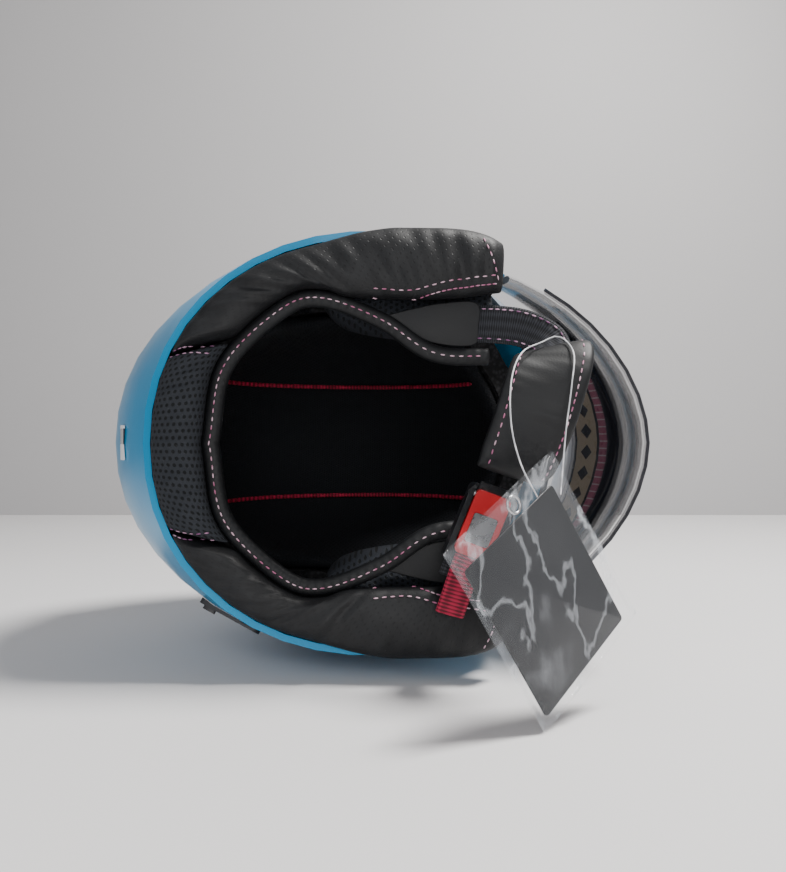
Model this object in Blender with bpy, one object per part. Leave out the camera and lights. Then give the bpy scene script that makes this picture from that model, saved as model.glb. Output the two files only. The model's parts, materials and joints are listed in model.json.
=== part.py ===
"""Open face motorcycle helmet, lying on the wearer's left side.

Helmet axes used below: f forward, r to the wearer's right, u from the neck rim to the crown.
World axes: +X is f, +Z is r and +Y is u. Metres.
"""
import math

import bmesh
import bpy
from mathutils import Matrix, Vector

# Shell
SHELL_REAR = 0.172
SHELL_FRONT = 0.137
SHELL_HALF_WIDTH = 0.126
SHELL_HEIGHT = 0.245
SHELL_CENTRE_F = -0.012
WIDEST_HEIGHT = 0.095
RIM_REAR = 0.130
RIM_HALF_WIDTH = SHELL_HALF_WIDTH - 0.0055
RIM_FRONT = 0.122
SHELL_WALL = 0.004
TRIM_DEPTH = 0.0034
FACE_EDGE_F = 0.066
BROW_HEIGHT = 0.150
REAR_VENT_HEIGHT = 0.160
TOP_VENT_HEIGHT = 0.228
SLIDER_TURN = -124
SLIDER_HEIGHT = 0.024
GAP = 0.0003
FIT = 0.0008
LINER_GAP = 0.0020

# Liner and pads
EPS_CROWN = 0.028
LINER_THICKNESS = 0.009
CHEEK_TOP = 0.096
CHEEK_REAR = -0.044
CHEEK_INNER = SHELL_HALF_WIDTH - 0.036
CHEEK_PAD_THICKNESS = 0.024
ROLL_DEPTH = 0.012
ROLL_TOP = 0.010
BINDING_RADIUS = 0.003

# Visor
PIVOT_F = 0.0
PIVOT_U = 0.130
VISOR_WALL = 0.0022
VISOR_BROW_RADIUS = 0.1245
VISOR_CHIN_RADIUS = 0.186
VISOR_HALF_WIDTH = SHELL_HALF_WIDTH + 0.0020
VISOR_TOP_ANGLE = math.radians(31)
VISOR_CHIN_ANGLE = math.radians(-39)
BASE_RADIUS = 0.018
EYE_RADIUS = 0.0225
BASE_FACE = SHELL_HALF_WIDTH
COVER_LENGTH = 0.080
COVER_HEIGHT = 0.058
COVER_FACE = SHELL_HALF_WIDTH + 0.0075
HUB_RADIUS = 0.009
VISOR_ROWS = 9
VISOR_EAR = 0.020
VISOR_FULLNESS = 1.85
SUN_FULLNESS = 1.8
SUN_RADIUS = 0.1075
SUN_WALL = 0.0018
SUN_HALF_WIDTH = SHELL_HALF_WIDTH - 0.0105

# Chin strap and buckle
WEB_WIDTH = 0.022
WEB_THICKNESS = 0.0016
PAD_WIDTH = 0.043
PAD_THICKNESS = 0.008
BUCKLE_LENGTH = 0.044
BUCKLE_WIDTH = 0.027
BUCKLE_DEPTH = 0.009
LEVER_LENGTH = 0.036

# Hang tag
POUCH_WIDTH = 0.092
POUCH_HEIGHT = 0.100
POUCH_DEPTH = 0.0026
FILM = 0.0005
CARD_WIDTH = 0.074
CARD_HEIGHT = 0.082
THREAD_RADIUS = 0.0004


def world(f, r, u):
    return Vector((f, u, r))


def material(name, colour, roughness, metallic=0.0, alpha=1.0):
    mat = bpy.data.materials.get(name)
    if mat:
        return mat
    mat = bpy.data.materials.new(name)
    mat.use_nodes = True
    shader = mat.node_tree.nodes["Principled BSDF"]
    shader.inputs["Base Color"].default_value = (*colour, 1.0)
    shader.inputs["Roughness"].default_value = roughness
    shader.inputs["Metallic"].default_value = metallic
    shader.inputs["Alpha"].default_value = alpha
    return mat


def add_object(name, bm, mat, origin=None):
    """Turn a bmesh in world axes into an object whose origin is at the given world point."""
    bmesh.ops.recalc_face_normals(bm, faces=bm.faces[:])
    if origin is not None:
        bmesh.ops.translate(bm, verts=bm.verts[:], vec=-origin)
    mesh = bpy.data.meshes.new(name)
    bm.to_mesh(mesh)
    bm.free()
    mesh.shade_smooth()
    mesh.set_sharp_from_angle(angle=math.radians(40))
    mesh.materials.append(mat)
    obj = bpy.data.objects.new(name, mesh)
    if origin is not None:
        obj.location = origin
    bpy.context.scene.collection.objects.link(obj)
    return obj


def patch_solid(outer, inner, closed=False, pole=False):
    """Closed solid between two grids of points, indexed [column][row]."""
    bm = bmesh.new()
    cols, rows = len(outer), len(outer[0])
    grids = []
    for points in (outer, inner):
        last = rows - 1 if pole else rows
        grid = [[bm.verts.new(p) for p in column[:last]] for column in points]
        if pole:
            top = bm.verts.new(points[0][-1])
            for column in grid:
                column.append(top)
        grids.append(grid)
    spans = cols if closed else cols - 1
    for grid in grids:
        for i in range(spans):
            a, b = grid[i], grid[(i + 1) % cols]
            for j in range(rows - 1):
                corners = [a[j], b[j], b[j + 1], a[j + 1]]
                if pole and j == rows - 2:
                    corners = [a[j], b[j], a[j + 1]]
                bm.faces.new(corners)
    out, inn = grids
    for i in range(spans):
        k = (i + 1) % cols
        bm.faces.new((out[i][0], out[k][0], inn[k][0], inn[i][0]))
        if not pole:
            bm.faces.new((out[i][-1], out[k][-1], inn[k][-1], inn[i][-1]))
    if not closed:
        for i in (0, cols - 1):
            for j in range(rows - 1):
                bm.faces.new((out[i][j], out[i][j + 1], inn[i][j + 1], inn[i][j]))
    return bm


def smooth_path(points, count):
    """Catmull-Rom curve through the points, resampled evenly."""
    pts = [Vector(p) for p in points]
    pts = [pts[0] * 2 - pts[1]] + pts + [pts[-1] * 2 - pts[-2]]
    fine = []
    for a, b, c, d in zip(pts, pts[1:], pts[2:], pts[3:]):
        for k in range(24):
            t = k / 24
            fine.append(0.5 * (2 * b + (c - a) * t + (2 * a - 5 * b + 4 * c - d) * t * t
                               + (3 * b - a - 3 * c + d) * t ** 3))
    fine.append(pts[-2])
    lengths = [0.0]
    for p, q in zip(fine, fine[1:]):
        lengths.append(lengths[-1] + (q - p).length)
    result = []
    k = 0
    for i in range(count):
        want = lengths[-1] * i / (count - 1)
        while k < len(fine) - 2 and lengths[k + 1] < want:
            k += 1
        span = lengths[k + 1] - lengths[k]
        result.append(fine[k].lerp(fine[k + 1], (want - lengths[k]) / span))
    return result


def sweep(path, across, profile):
    """Sweep a closed profile of (a, b) pairs; a runs along across(i), b along the other normal."""
    bm = bmesh.new()
    rings = []
    for i, point in enumerate(path):
        tangent = (path[min(i + 1, len(path) - 1)] - path[max(i - 1, 0)]).normalized()
        side = across(i)
        side = (side - tangent * side.dot(tangent)).normalized()
        normal = tangent.cross(side)
        rings.append([bm.verts.new(point + side * a + normal * b) for a, b in profile])
    count = len(profile)
    for ring, after in zip(rings, rings[1:]):
        for j in range(count):
            k = (j + 1) % count
            bm.faces.new((ring[j], ring[k], after[k], after[j]))
    bm.faces.new(rings[0])
    bm.faces.new(rings[-1])
    return bm


def circle(radius, count=8, squash=1.0):
    turns = [2 * math.pi * k / count for k in range(count)]
    return [(radius * math.cos(t), radius * squash * math.sin(t)) for t in turns]


def band(width, thickness):
    """Flat strip section with rounded long edges."""
    w, h = width / 2, thickness / 2
    return [(-w + h, -h), (w - h, -h), (w, 0), (w - h, h), (-w + h, h), (-w, 0)]


def rounded_plate(width, height, radius, z0, z1, steps=4):
    """Plate in local axes, x by y with rounded corners, from z0 to z1."""
    outline = []
    for cx, cy, start in ((1, 1, 0), (-1, 1, 90), (-1, -1, 180), (1, -1, 270)):
        for k in range(steps + 1):
            t = math.radians(start + 90 * k / steps)
            x = cx * (width / 2 - radius) + radius * math.cos(t)
            y = cy * (height / 2 - radius) + radius * math.sin(t)
            outline.append((x, y))
    return prism(outline, z0, z1)


def prism(outline, z0, z1):
    bm = bmesh.new()
    low = [bm.verts.new((x, y, z0)) for x, y in outline]
    high = [bm.verts.new((x, y, z1)) for x, y in outline]
    bm.faces.new(low)
    bm.faces.new(high)
    for k in range(len(outline)):
        n = (k + 1) % len(outline)
        bm.faces.new((low[k], low[n], high[n], high[k]))
    return bm


def turned(profile, count=24):
    """Solid of revolution about local z from (radius, z) pairs, both ends on the axis."""
    bm = bmesh.new()
    rings = []
    loop = profile[0] == profile[-1]
    for radius, z in profile[:-1] if loop else profile:
        if radius == 0:
            rings.append([bm.verts.new((0, 0, z))])
            continue
        ring = []
        for k in range(count):
            t = 2 * math.pi * k / count
            ring.append(bm.verts.new((radius * math.cos(t), radius * math.sin(t), z)))
        rings.append(ring)
    if loop:
        rings.append(rings[0])
    for a, b in zip(rings, rings[1:]):
        for k in range(count):
            n = (k + 1) % count
            corners = [a[k % len(a)], a[n % len(a)], b[n % len(b)], b[k % len(b)]]
            bm.faces.new(list(dict.fromkeys(corners)))
    return bm


def placed(bm, matrix):
    bmesh.ops.transform(bm, matrix=matrix, verts=bm.verts[:])
    return bm


def cut(obj, cutter):
    """Boolean difference kept live on the object, with the cutter hidden."""
    cutter.hide_render = True
    cutter.display_type = "WIRE"
    mod = obj.modifiers.new("cut", "BOOLEAN")
    mod.operation = "DIFFERENCE"
    mod.solver = "EXACT"
    mod.object = cutter
    return obj


# ---------------------------------------------------------------- shell surface

def shell_point(theta, lam, inset):
    """Point of the egg-shaped shell: theta 0 is forward, lam -1 the neck rim and 1 the crown."""
    if lam < 0:
        share = abs(lam) ** 1.8
        rear = SHELL_REAR - (SHELL_REAR - RIM_REAR) * share
        side = SHELL_HALF_WIDTH - (SHELL_HALF_WIDTH - RIM_HALF_WIDTH) * share
        front = SHELL_FRONT - (SHELL_FRONT - RIM_FRONT) * share
        scale, u = 1.0, WIDEST_HEIGHT * (1 + lam)
    else:
        power = 2 / 2.15
        scale = math.cos(lam * math.pi / 2) ** power if lam < 1 else 0.0
        u = WIDEST_HEIGHT + (SHELL_HEIGHT - inset - WIDEST_HEIGHT) * math.sin(lam * math.pi / 2) ** power
        rear, side, front = SHELL_REAR, SHELL_HALF_WIDTH, SHELL_FRONT
    c, s = math.cos(theta), math.sin(theta)
    along = (front if c > 0 else rear) - inset
    power = 2 / 2.1
    f = SHELL_CENTRE_F + math.copysign(abs(c) ** power, c) * along * scale
    r = math.copysign(abs(s) ** power, s) * (side - inset) * scale
    return world(f, r, u)


def lam_at(u, inset=0.0):
    """Latitude at which the surface reaches height u."""
    if u <= WIDEST_HEIGHT:
        return u / WIDEST_HEIGHT - 1
    share = min(1.0, (u - WIDEST_HEIGHT) / (SHELL_HEIGHT - inset - WIDEST_HEIGHT))
    return math.asin(share ** (2.15 / 2)) * 2 / math.pi


def theta_at(f, lam):
    """Angle on the front half at which the surface reaches f."""
    reach = shell_point(0.0, lam, 0.0).x - SHELL_CENTRE_F
    return math.acos(min(1.0, ((f - SHELL_CENTRE_F) / reach)) ** (2.1 / 2))


def opening_edge(side_count, brow_count):
    """Right half of the face opening, from the cheek corner to the brow centre, as (theta, lam)."""
    points = []
    for k in range(side_count):
        u = (BROW_HEIGHT - 0.032) * k / (side_count - 1)
        corner = 0.018
        f = FACE_EDGE_F - (corner - math.sqrt(corner ** 2 - max(0, corner - u) ** 2)) * 0.9
        lam = lam_at(u)
        points.append((theta_at(f, lam), lam))
    start = points[-1][0]
    for k in range(1, brow_count + 1):
        t = k / brow_count
        turn = start * (1 - t)
        u = BROW_HEIGHT - 0.032 * (1 - math.sin(min(1.0, t * 1.6) * math.pi / 2))
        points.append((turn, lam_at(u)))
    return points


def ring_columns(rear_count, edge):
    """(theta, lam) starts of all columns round the shell, right side then left."""
    first = edge[0][0]
    right = [(math.pi - (math.pi - first) * k / rear_count, -1.0) for k in range(rear_count)] + edge
    left = [(-theta, lam) for theta, lam in reversed(right[1:-1])]
    return right + left


def dome_grid(columns, rows, inset):
    """Columns from their starts to the crown, spread evenly in angle near the crown."""
    half = len(columns) // 2
    grid = []
    for i, (theta0, lam0) in enumerate(columns):
        even = math.pi * (1 - i / half) if i <= half else -math.pi * (i - half) / half
        column = []
        for j in range(rows + 1):
            w = j / rows
            blend = w * w * (3 - 2 * w)
            theta = theta0 + (even - theta0) * blend
            lam = lam0 + (1 - lam0) * w
            column.append(shell_point(theta, lam, inset))
        grid.append(column)
    return grid


def make_shell():
    columns = ring_columns(14, opening_edge(7, 6))
    outer = dome_grid(columns, 13, 0.0)
    inner = dome_grid(columns, 13, SHELL_WALL)
    make_face_trim(outer, inner)
    bm = patch_solid(outer, inner, closed=True, pole=True)
    add_object("outer_shell", bm, material("shell_blue", (0.012, 0.22, 0.42), 0.12))
    seat = patch_solid(dome_grid(columns, 13, -2 * GAP), dome_grid(columns, 13, 0.03), True, True)
    cutter = add_object("shell_seat", seat, material("guide", (1, 1, 1), 0.5))
    cutter.hide_render = True
    cutter.display_type = "WIRE"
    return cutter


def make_face_trim(outer, inner):
    """Rubber beading along the shell's edge round the face opening."""
    first, last = 15, len(outer) - 15
    path, away = [], []
    for k in range(first, last + 1):
        edge = (outer[k][0] + inner[k][0]) / 2
        tangent = (outer[k + 1][0] - outer[k - 1][0]).normalized()
        out = tangent.cross(outer[k][0] - inner[k][0]).normalized()
        away.append(out if out.dot(world(0.12, 0, 0.07) - edge) > 0 else -out)
        reach = max((p - edge).dot(away[-1]) for p in (outer[k][0], inner[k][0]))
        path.append(edge + away[-1] * (reach + FIT + TRIM_DEPTH / 2))
    bm = sweep(path, lambda i: away[i], circle(TRIM_DEPTH / 2, 8, 1.5))
    add_object("face_edge_trim", bm, material("rubber", (0.012, 0.012, 0.014), 0.6))


# ---------------------------------------------------------------- liner and pads

def liner_edge():
    """(theta, lam) starts of the foam's lower edge, right half from the back to the brow."""
    points = []
    for k in range(21):
        theta = math.pi * (1 - k / 20)
        side = max(0.0, min(1.0, (math.radians(124) - theta) / math.radians(14)))
        u = 0.020 + (CHEEK_TOP + 0.003 - 0.020) * side * side * (3 - 2 * side)
        brow = max(0.0, min(1.0, (math.radians(72) - theta) / math.radians(40)))
        u += (BROW_HEIGHT + 0.004 - CHEEK_TOP - 0.003) * brow * brow * (3 - 2 * brow)
        points.append((theta, lam_at(u)))
    return points


def make_liner():
    right = liner_edge()
    columns = right + [(-t, lam) for t, lam in reversed(right[1:-1])]
    gap = SHELL_WALL + LINER_GAP
    outer = dome_grid(columns, 8, gap)
    inner = dome_grid(columns, 8, gap + EPS_CROWN)
    eps = patch_solid(outer, inner, closed=True, pole=True)
    foam = add_object("eps_liner", eps, material("foam", (0.03, 0.03, 0.032), 0.9))
    cut(foam, make_sun_room())
    pad_out = dome_grid(columns, 8, gap + EPS_CROWN + FIT)
    pad_in = dome_grid(columns, 8, gap + EPS_CROWN + FIT + LINER_THICKNESS)
    pad = patch_solid(pad_out, pad_in, closed=True, pole=True)
    add_object("crown_liner", pad, material("liner_cloth", (0.012, 0.013, 0.016), 0.95))


def side_name(side):
    return "right" if side > 0 else "left"


def mirrored(point, side):
    return Vector((point.x, point.y, point.z * side))


def make_liner_piping(side):
    """Ribbed red piping that runs back to front over the comfort liner."""
    inset = SHELL_WALL + LINER_GAP + FIT + EPS_CROWN + LINER_THICKNESS + GAP + 0.0022
    reach = 0.042
    path = []
    for k in range(22):
        angle = math.radians(172 - 140 * k / 21)
        target = Vector((math.cos(angle), math.sin(angle)))
        rear = (SHELL_REAR if target.x < 0 else SHELL_FRONT) - inset
        height = SHELL_HEIGHT - inset - WIDEST_HEIGHT
        width = SHELL_HALF_WIDTH - inset
        shrink = (1 - (reach / width) ** 2.1) ** (1 / 2.1)
        scale = 1 / (abs(target.x / rear) ** 2.12 + abs(target.y / height) ** 2.12) ** (1 / 2.12)
        flat = target * scale * shrink * 0.985
        path.append(world(SHELL_CENTRE_F + flat.x, reach * side, WIDEST_HEIGHT + flat.y))
    bm = sweep(path, lambda i: world(0, 1, 0), circle(0.0018, 6))
    add_object("liner_piping_" + side_name(side), bm, material("piping_red", (0.32, 0.02, 0.04), 0.5))


def cheek_grid(side, depth, low, high, rear, front):
    """Grid of points over the cheek, at the r that depth(f, u) gives."""
    grid = []
    for i in range(11):
        f = rear + (front - rear) * i / 10
        column = []
        for j in range(7):
            u = low + (high - low) * j / 6
            column.append(world(f, side * depth(f, u), u))
        grid.append(column)
    return grid


def make_cheek(side):
    """Foam block against the shell, and the padded cover on its inner face."""
    rear, front = CHEEK_REAR, FACE_EDGE_F - 0.006
    low, high = ROLL_TOP + 0.002, CHEEK_TOP

    def shell_side(f, u):
        lam = lam_at(u)
        c = (f - SHELL_CENTRE_F)
        along = abs(shell_point(0 if c > 0 else math.pi, lam, 0).x - SHELL_CENTRE_F)
        wide = shell_point(math.pi / 2, lam, 0).z
        return wide * (1 - (abs(c) / along) ** 2.1) ** (1 / 2.1) - SHELL_WALL - LINER_GAP

    outer = cheek_grid(side, shell_side, low, high, rear, front)
    inner = cheek_grid(side, lambda f, u: CHEEK_INNER, low, high, rear, front)
    block = patch_solid(outer, inner)
    add_object("eps_cheek_" + side_name(side), block, material("foam", (0.03, 0.03, 0.032), 0.9))

    def face(f, u):
        along = (f - rear) / (front - rear)
        up = (u - low) / (high - low)
        swell = (math.sin(math.pi * min(1, max(0, along))) * math.sin(math.pi * up)) ** 0.5
        chin = max(0.0, along - 0.35) * (1 - up) ** 1.5 * 0.030
        return CHEEK_INNER - GAP - 0.007 - (CHEEK_PAD_THICKNESS - 0.007) * swell - chin

    pad_out = cheek_grid(side, lambda f, u: CHEEK_INNER - GAP, low, high, rear, front)
    pad_in = cheek_grid(side, face, low, high, rear, front)
    pad = patch_solid(pad_out, pad_in)
    add_object("cheek_pad_" + side_name(side), pad, material("liner_cloth", (0.012, 0.013, 0.016), 0.95))


# ---------------------------------------------------------------- neck roll

def opening_outline(count):
    """Inner edge of the neck roll, right half, from the back centre to the cheek's front end."""
    points = [(-0.109, 0.0), (-0.100, 0.046), (-0.066, 0.080), (-0.040, 0.087), (-0.004, 0.074),
              (0.024, 0.056), (0.055, 0.054)]
    return smooth_path([world(f, r, 0) for f, r in points], count)


def roll_outer(theta):
    p = shell_point(theta, -1.0, SHELL_WALL + 0.0008)
    return world(p.x, p.z, 0)


def roll_section(outer, inner, steps=6):
    """Points across the roll: bulged underside and flat top, outer edge to inner edge."""
    under, top = [], []
    for k in range(steps + 1):
        t = k / steps
        p = outer.lerp(inner, t)
        swell = math.sin(math.pi * t) ** 0.7 if 0 < t < 1 else 0.0
        under.append(Vector((p.x, -0.0005 - ROLL_DEPTH * swell, p.z)))
        top.append(Vector((p.x, ROLL_TOP, p.z)))
    return under, top


def make_neck_roll():
    leather = material("leatherette", (0.03, 0.032, 0.036), 0.45)
    mesh = material("mesh_cloth", (0.010, 0.012, 0.016), 0.9)
    outline = opening_outline(60)
    back = []
    for k in range(-6, 7):
        share = k / 6
        outer = roll_outer(math.pi - share * math.radians(24))
        near = outline[round(abs(share) * 16)]
        inner = Vector((near.x - 0.001, 0, math.copysign(near.z, share) if share else 0.0))
        back.append((outer, inner))
    sections = [roll_section(o, i) for o, i in back]
    bm = patch_solid([s[0] for s in sections], [s[1] for s in sections])
    add_object("neck_roll_back", bm, mesh)
    flap = smooth_path(outline[17:38:4] + [world(0.028, 0.081, 0), world(FACE_EDGE_F - 0.004, 0.085, 0)], 15)
    for side in (1, -1):
        sections = []
        start = math.pi - math.radians(24.4)
        stop = math.radians(57)
        for k in range(15):
            theta = start + (stop - start) * (k / 14)
            outer, inner = roll_outer(theta), flap[k].copy()
            inner.x -= 0.001
            under, top = roll_section(mirrored(outer, side), mirrored(inner, side))
            sections.append((under, top))
        bm = patch_solid([s[0] for s in sections], [s[1] for s in sections])
        add_object("neck_roll_" + side_name(side), bm, leather)


def make_binding():
    """Folded binding round the head opening, inside the roll's edge."""
    half = opening_outline(25)
    right = []
    for i, p in enumerate(half):
        tangent = (half[min(i + 1, 24)] - half[max(i - 1, 0)]).normalized()
        if i == 0:
            tangent = world(0, 1, 0)
        inward = Vector((tangent.z, 0, -tangent.x))
        right.append(world(p.x, p.z, 0.0055) + inward * (BINDING_RADIUS + 0.0014))
    path = [mirrored(p, -1) for p in reversed(right[1:])] + right
    bm = sweep(path, lambda i: Vector((0, 1, 0)), circle(BINDING_RADIUS, 6))
    add_object("opening_binding", bm, material("leatherette", (0.03, 0.032, 0.036), 0.45))


# ---------------------------------------------------------------- visor

def polar_section(angle, radius, half_width, ear, count, fullness):
    """Section of a visor in the plane at the angle about the pivot axis, right to left."""
    points = []
    power = 2 / fullness
    first = math.asin(min(1.0, (ear / radius) ** (1 / power)))
    for k in range(count + 1):
        turn = math.pi / 2 * (1 - 2 * k / count) * (math.pi / 2 - first) / (math.pi / 2)
        rho = radius * math.cos(turn) ** power
        r = math.copysign(abs(math.sin(turn)) ** power, turn) * half_width
        points.append(world(PIVOT_F + rho * math.cos(angle), r, PIVOT_U + rho * math.sin(angle)))
    return points


def visor_radius(angle):
    share = max(0.0, min(1.0, (math.radians(14) - angle) / (math.radians(14) - VISOR_CHIN_ANGLE)))
    return VISOR_BROW_RADIUS + (VISOR_CHIN_RADIUS - VISOR_BROW_RADIUS) * share ** 1.25


def visor_grid(offset, first=0, last=VISOR_ROWS, trim=0):
    """Rows of the visor's surface between two row numbers, with trim columns left off each side."""
    grid = []
    steps = max(1, round(last - first))
    for j in range(steps + 1):
        row = first + (last - first) * j / steps
        angle = VISOR_CHIN_ANGLE + (VISOR_TOP_ANGLE - VISOR_CHIN_ANGLE) * row / VISOR_ROWS
        radius = visor_radius(angle) + offset
        line = polar_section(angle, radius, VISOR_HALF_WIDTH + offset, VISOR_EAR, 24, VISOR_FULLNESS)
        grid.append(line[trim:len(line) - trim])
    return grid


def pivot_origin(side=0.0):
    return world(PIVOT_F, side, PIVOT_U)


def make_visor():
    clear = material("clear_polycarbonate", (0.75, 0.78, 0.80), 0.06, 0.0, 0.35)
    smoke = material("smoke_print", (0.05, 0.05, 0.06), 0.25, 0.0, 0.8)
    lens = patch_solid(visor_grid(VISOR_WALL), visor_grid(0.0))
    visor = add_object("visor", lens, clear, pivot_origin())
    for side in (1, -1):
        ring = turned([(HUB_RADIUS + 0.0006, BASE_FACE + 0.0006), (EYE_RADIUS, BASE_FACE + 0.0006),
                       (EYE_RADIUS, VISOR_HALF_WIDTH + VISOR_WALL - 0.0004),
                       (HUB_RADIUS + 0.0006, VISOR_HALF_WIDTH + VISOR_WALL - 0.0004),
                       (HUB_RADIUS + 0.0006, BASE_FACE + 0.0006)], 20)
        eye = add_object("ear_" + side_name(side), placed(ring, disc_matrix(side)), clear, pivot_origin())
        cut(visor, eye).modifiers[-1].operation = "UNION"
    strip = patch_solid(visor_grid(VISOR_WALL + GAP + 0.0006, 3, 6, 6), visor_grid(VISOR_WALL + GAP, 3, 6, 6))
    add_object("visor_strip", strip, smoke, pivot_origin())
    rim_outer = visor_grid(VISOR_WALL + 0.0030, 0.04, 0.7, 5)
    rim = patch_solid(rim_outer, visor_grid(VISOR_WALL + 0.0009, 0.04, 0.7, 5))
    add_object("visor_rim", rim, clear, pivot_origin())


def disc_matrix(side, f=PIVOT_F, u=PIVOT_U):
    """Local z points outward along r on the given side; local x is forward, y up or down."""
    z_axis = world(0, side, 0)
    x_axis = world(1, 0, 0)
    y_axis = z_axis.cross(x_axis)
    matrix = Matrix((x_axis, y_axis, z_axis)).transposed().to_4x4()
    matrix.translation = world(f, 0, u)
    return matrix


def ellipse(width, height, count, cx=0.0, cy=0.0):
    turns = [2 * math.pi * k / count for k in range(count)]
    return [(cx + width / 2 * math.cos(t), cy + height / 2 * math.sin(t)) for t in turns]


def make_pivot(side, seat):
    """Fixed base on the shell, the flat oval cover over the visor's ear, and the screw through both."""
    plastic = material("black_plastic", (0.015, 0.015, 0.017), 0.35)
    steel = material("steel", (0.6, 0.6, 0.62), 0.25, 1.0)
    name = side_name(side)
    matrix = disc_matrix(side)
    cover_in = VISOR_HALF_WIDTH + VISOR_WALL + 0.0006
    base = turned([(0, 0.112), (BASE_RADIUS, 0.112), (BASE_RADIUS, BASE_FACE), (HUB_RADIUS, BASE_FACE),
                   (HUB_RADIUS, cover_in - GAP), (0, cover_in - GAP)], 28)
    obj = add_object("pivot_base_" + name, placed(base, matrix), plastic, pivot_origin())
    cut(obj, seat)
    shift = -0.012
    cover = prism(ellipse(COVER_LENGTH, COVER_HEIGHT, 36, shift, -0.005 * side), 0.112, COVER_FACE)
    bmesh.ops.bevel(cover, geom=[e for e in cover.edges if e.calc_face_angle(0) > 1.2
                                 and min(v.co.z for v in e.verts) > COVER_FACE - 1e-5],
                    offset=0.0009, segments=2, profile=0.5, affect="EDGES", material=-1)
    obj = add_object("pivot_cover_" + name, placed(cover, matrix), plastic, pivot_origin())
    cut(obj, seat)
    swing = [(0, 0)]
    for k in range(13):
        angle = side * math.radians(-44 + 146 * k / 12)
        swing.append((0.08 * math.cos(angle), 0.08 * math.sin(angle)))
    room = add_object("visor_room_" + name, placed(prism(swing, 0.10, cover_in), matrix), plastic)
    cut(obj, room)
    room_radius = EYE_RADIUS + FIT
    seat_round = turned([(0, 0.10), (room_radius, 0.10), (room_radius, cover_in), (0, cover_in)], 28)
    cut(obj, add_object("base_room_" + name, placed(seat_round, matrix), plastic, pivot_origin()))
    hole = turned([(0, COVER_FACE - 0.0012), (0.0068, COVER_FACE - 0.0012), (0.0068, 0.14), (0, 0.14)], 20)
    cut(obj, add_object("screw_hole_" + name, placed(hole, matrix), plastic, pivot_origin()))
    head = COVER_FACE - 0.0012 + GAP
    screw = turned([(0, head), (0.0064, head), (0.0064, COVER_FACE - 0.0003),
                    (0.0030, COVER_FACE - 0.0003), (0.0024, head + 0.0003), (0, head + 0.0003)], 20)
    add_object("pivot_screw_" + name, placed(screw, matrix), steel, pivot_origin())


def make_sun_room():
    """Cutter for the pocket in the foam that the sun visor parks in and swings through."""
    outer, inner = [], []
    spare = SUN_WALL + 2 * FIT
    for j in range(9):
        angle = math.radians(-20 + 88 * j / 8)
        outer.append(polar_section(angle, SUN_RADIUS + 0.03, SUN_HALF_WIDTH + 0.02, 0.010, 18, SUN_FULLNESS))
        inner.append(polar_section(angle, SUN_RADIUS - spare, SUN_HALF_WIDTH - spare, 0.010, 18, SUN_FULLNESS))
    room = add_object("sun_room", patch_solid(outer, inner), material("guide", (1, 1, 1), 0.5))
    return room


def make_sun_visor():
    """Dark inner lens on its own arc, parked between the shell and the foam."""
    first, last = math.radians(22), math.radians(64)
    outer, inner = [], []
    for j in range(7):
        angle = first + (last - first) * j / 6
        outer.append(polar_section(angle, SUN_RADIUS, SUN_HALF_WIDTH, 0.012, 18, SUN_FULLNESS))
        inner.append(polar_section(angle, SUN_RADIUS - SUN_WALL, SUN_HALF_WIDTH - SUN_WALL, 0.012, 18,
                                   SUN_FULLNESS))
    smoke = material("sun_smoke", (0.02, 0.02, 0.025), 0.1, 0.0, 0.7)
    add_object("sun_visor", patch_solid(outer, inner), smoke, pivot_origin())


# ---------------------------------------------------------------- pieces on the shell

def on_shell(theta_deg, u, lift=0.0):
    """Point on the shell and the matrix of a local frame there, z outward and x round the shell."""
    theta, lam = math.radians(theta_deg), lam_at(u)
    p = shell_point(theta, lam, -lift)
    round_way = (shell_point(theta + 0.01, lam, 0) - shell_point(theta - 0.01, lam, 0)).normalized()
    up_way = (shell_point(theta, lam + 0.01, 0) - shell_point(theta, lam - 0.01, 0)).normalized()
    z_axis = round_way.cross(up_way).normalized()
    if z_axis.dot(p - world(SHELL_CENTRE_F, 0, 0.1)) < 0:
        z_axis = -z_axis
    y_axis = z_axis.cross(round_way).normalized()
    matrix = Matrix((round_way, y_axis, z_axis)).transposed().to_4x4()
    matrix.translation = p
    return p, matrix


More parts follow.
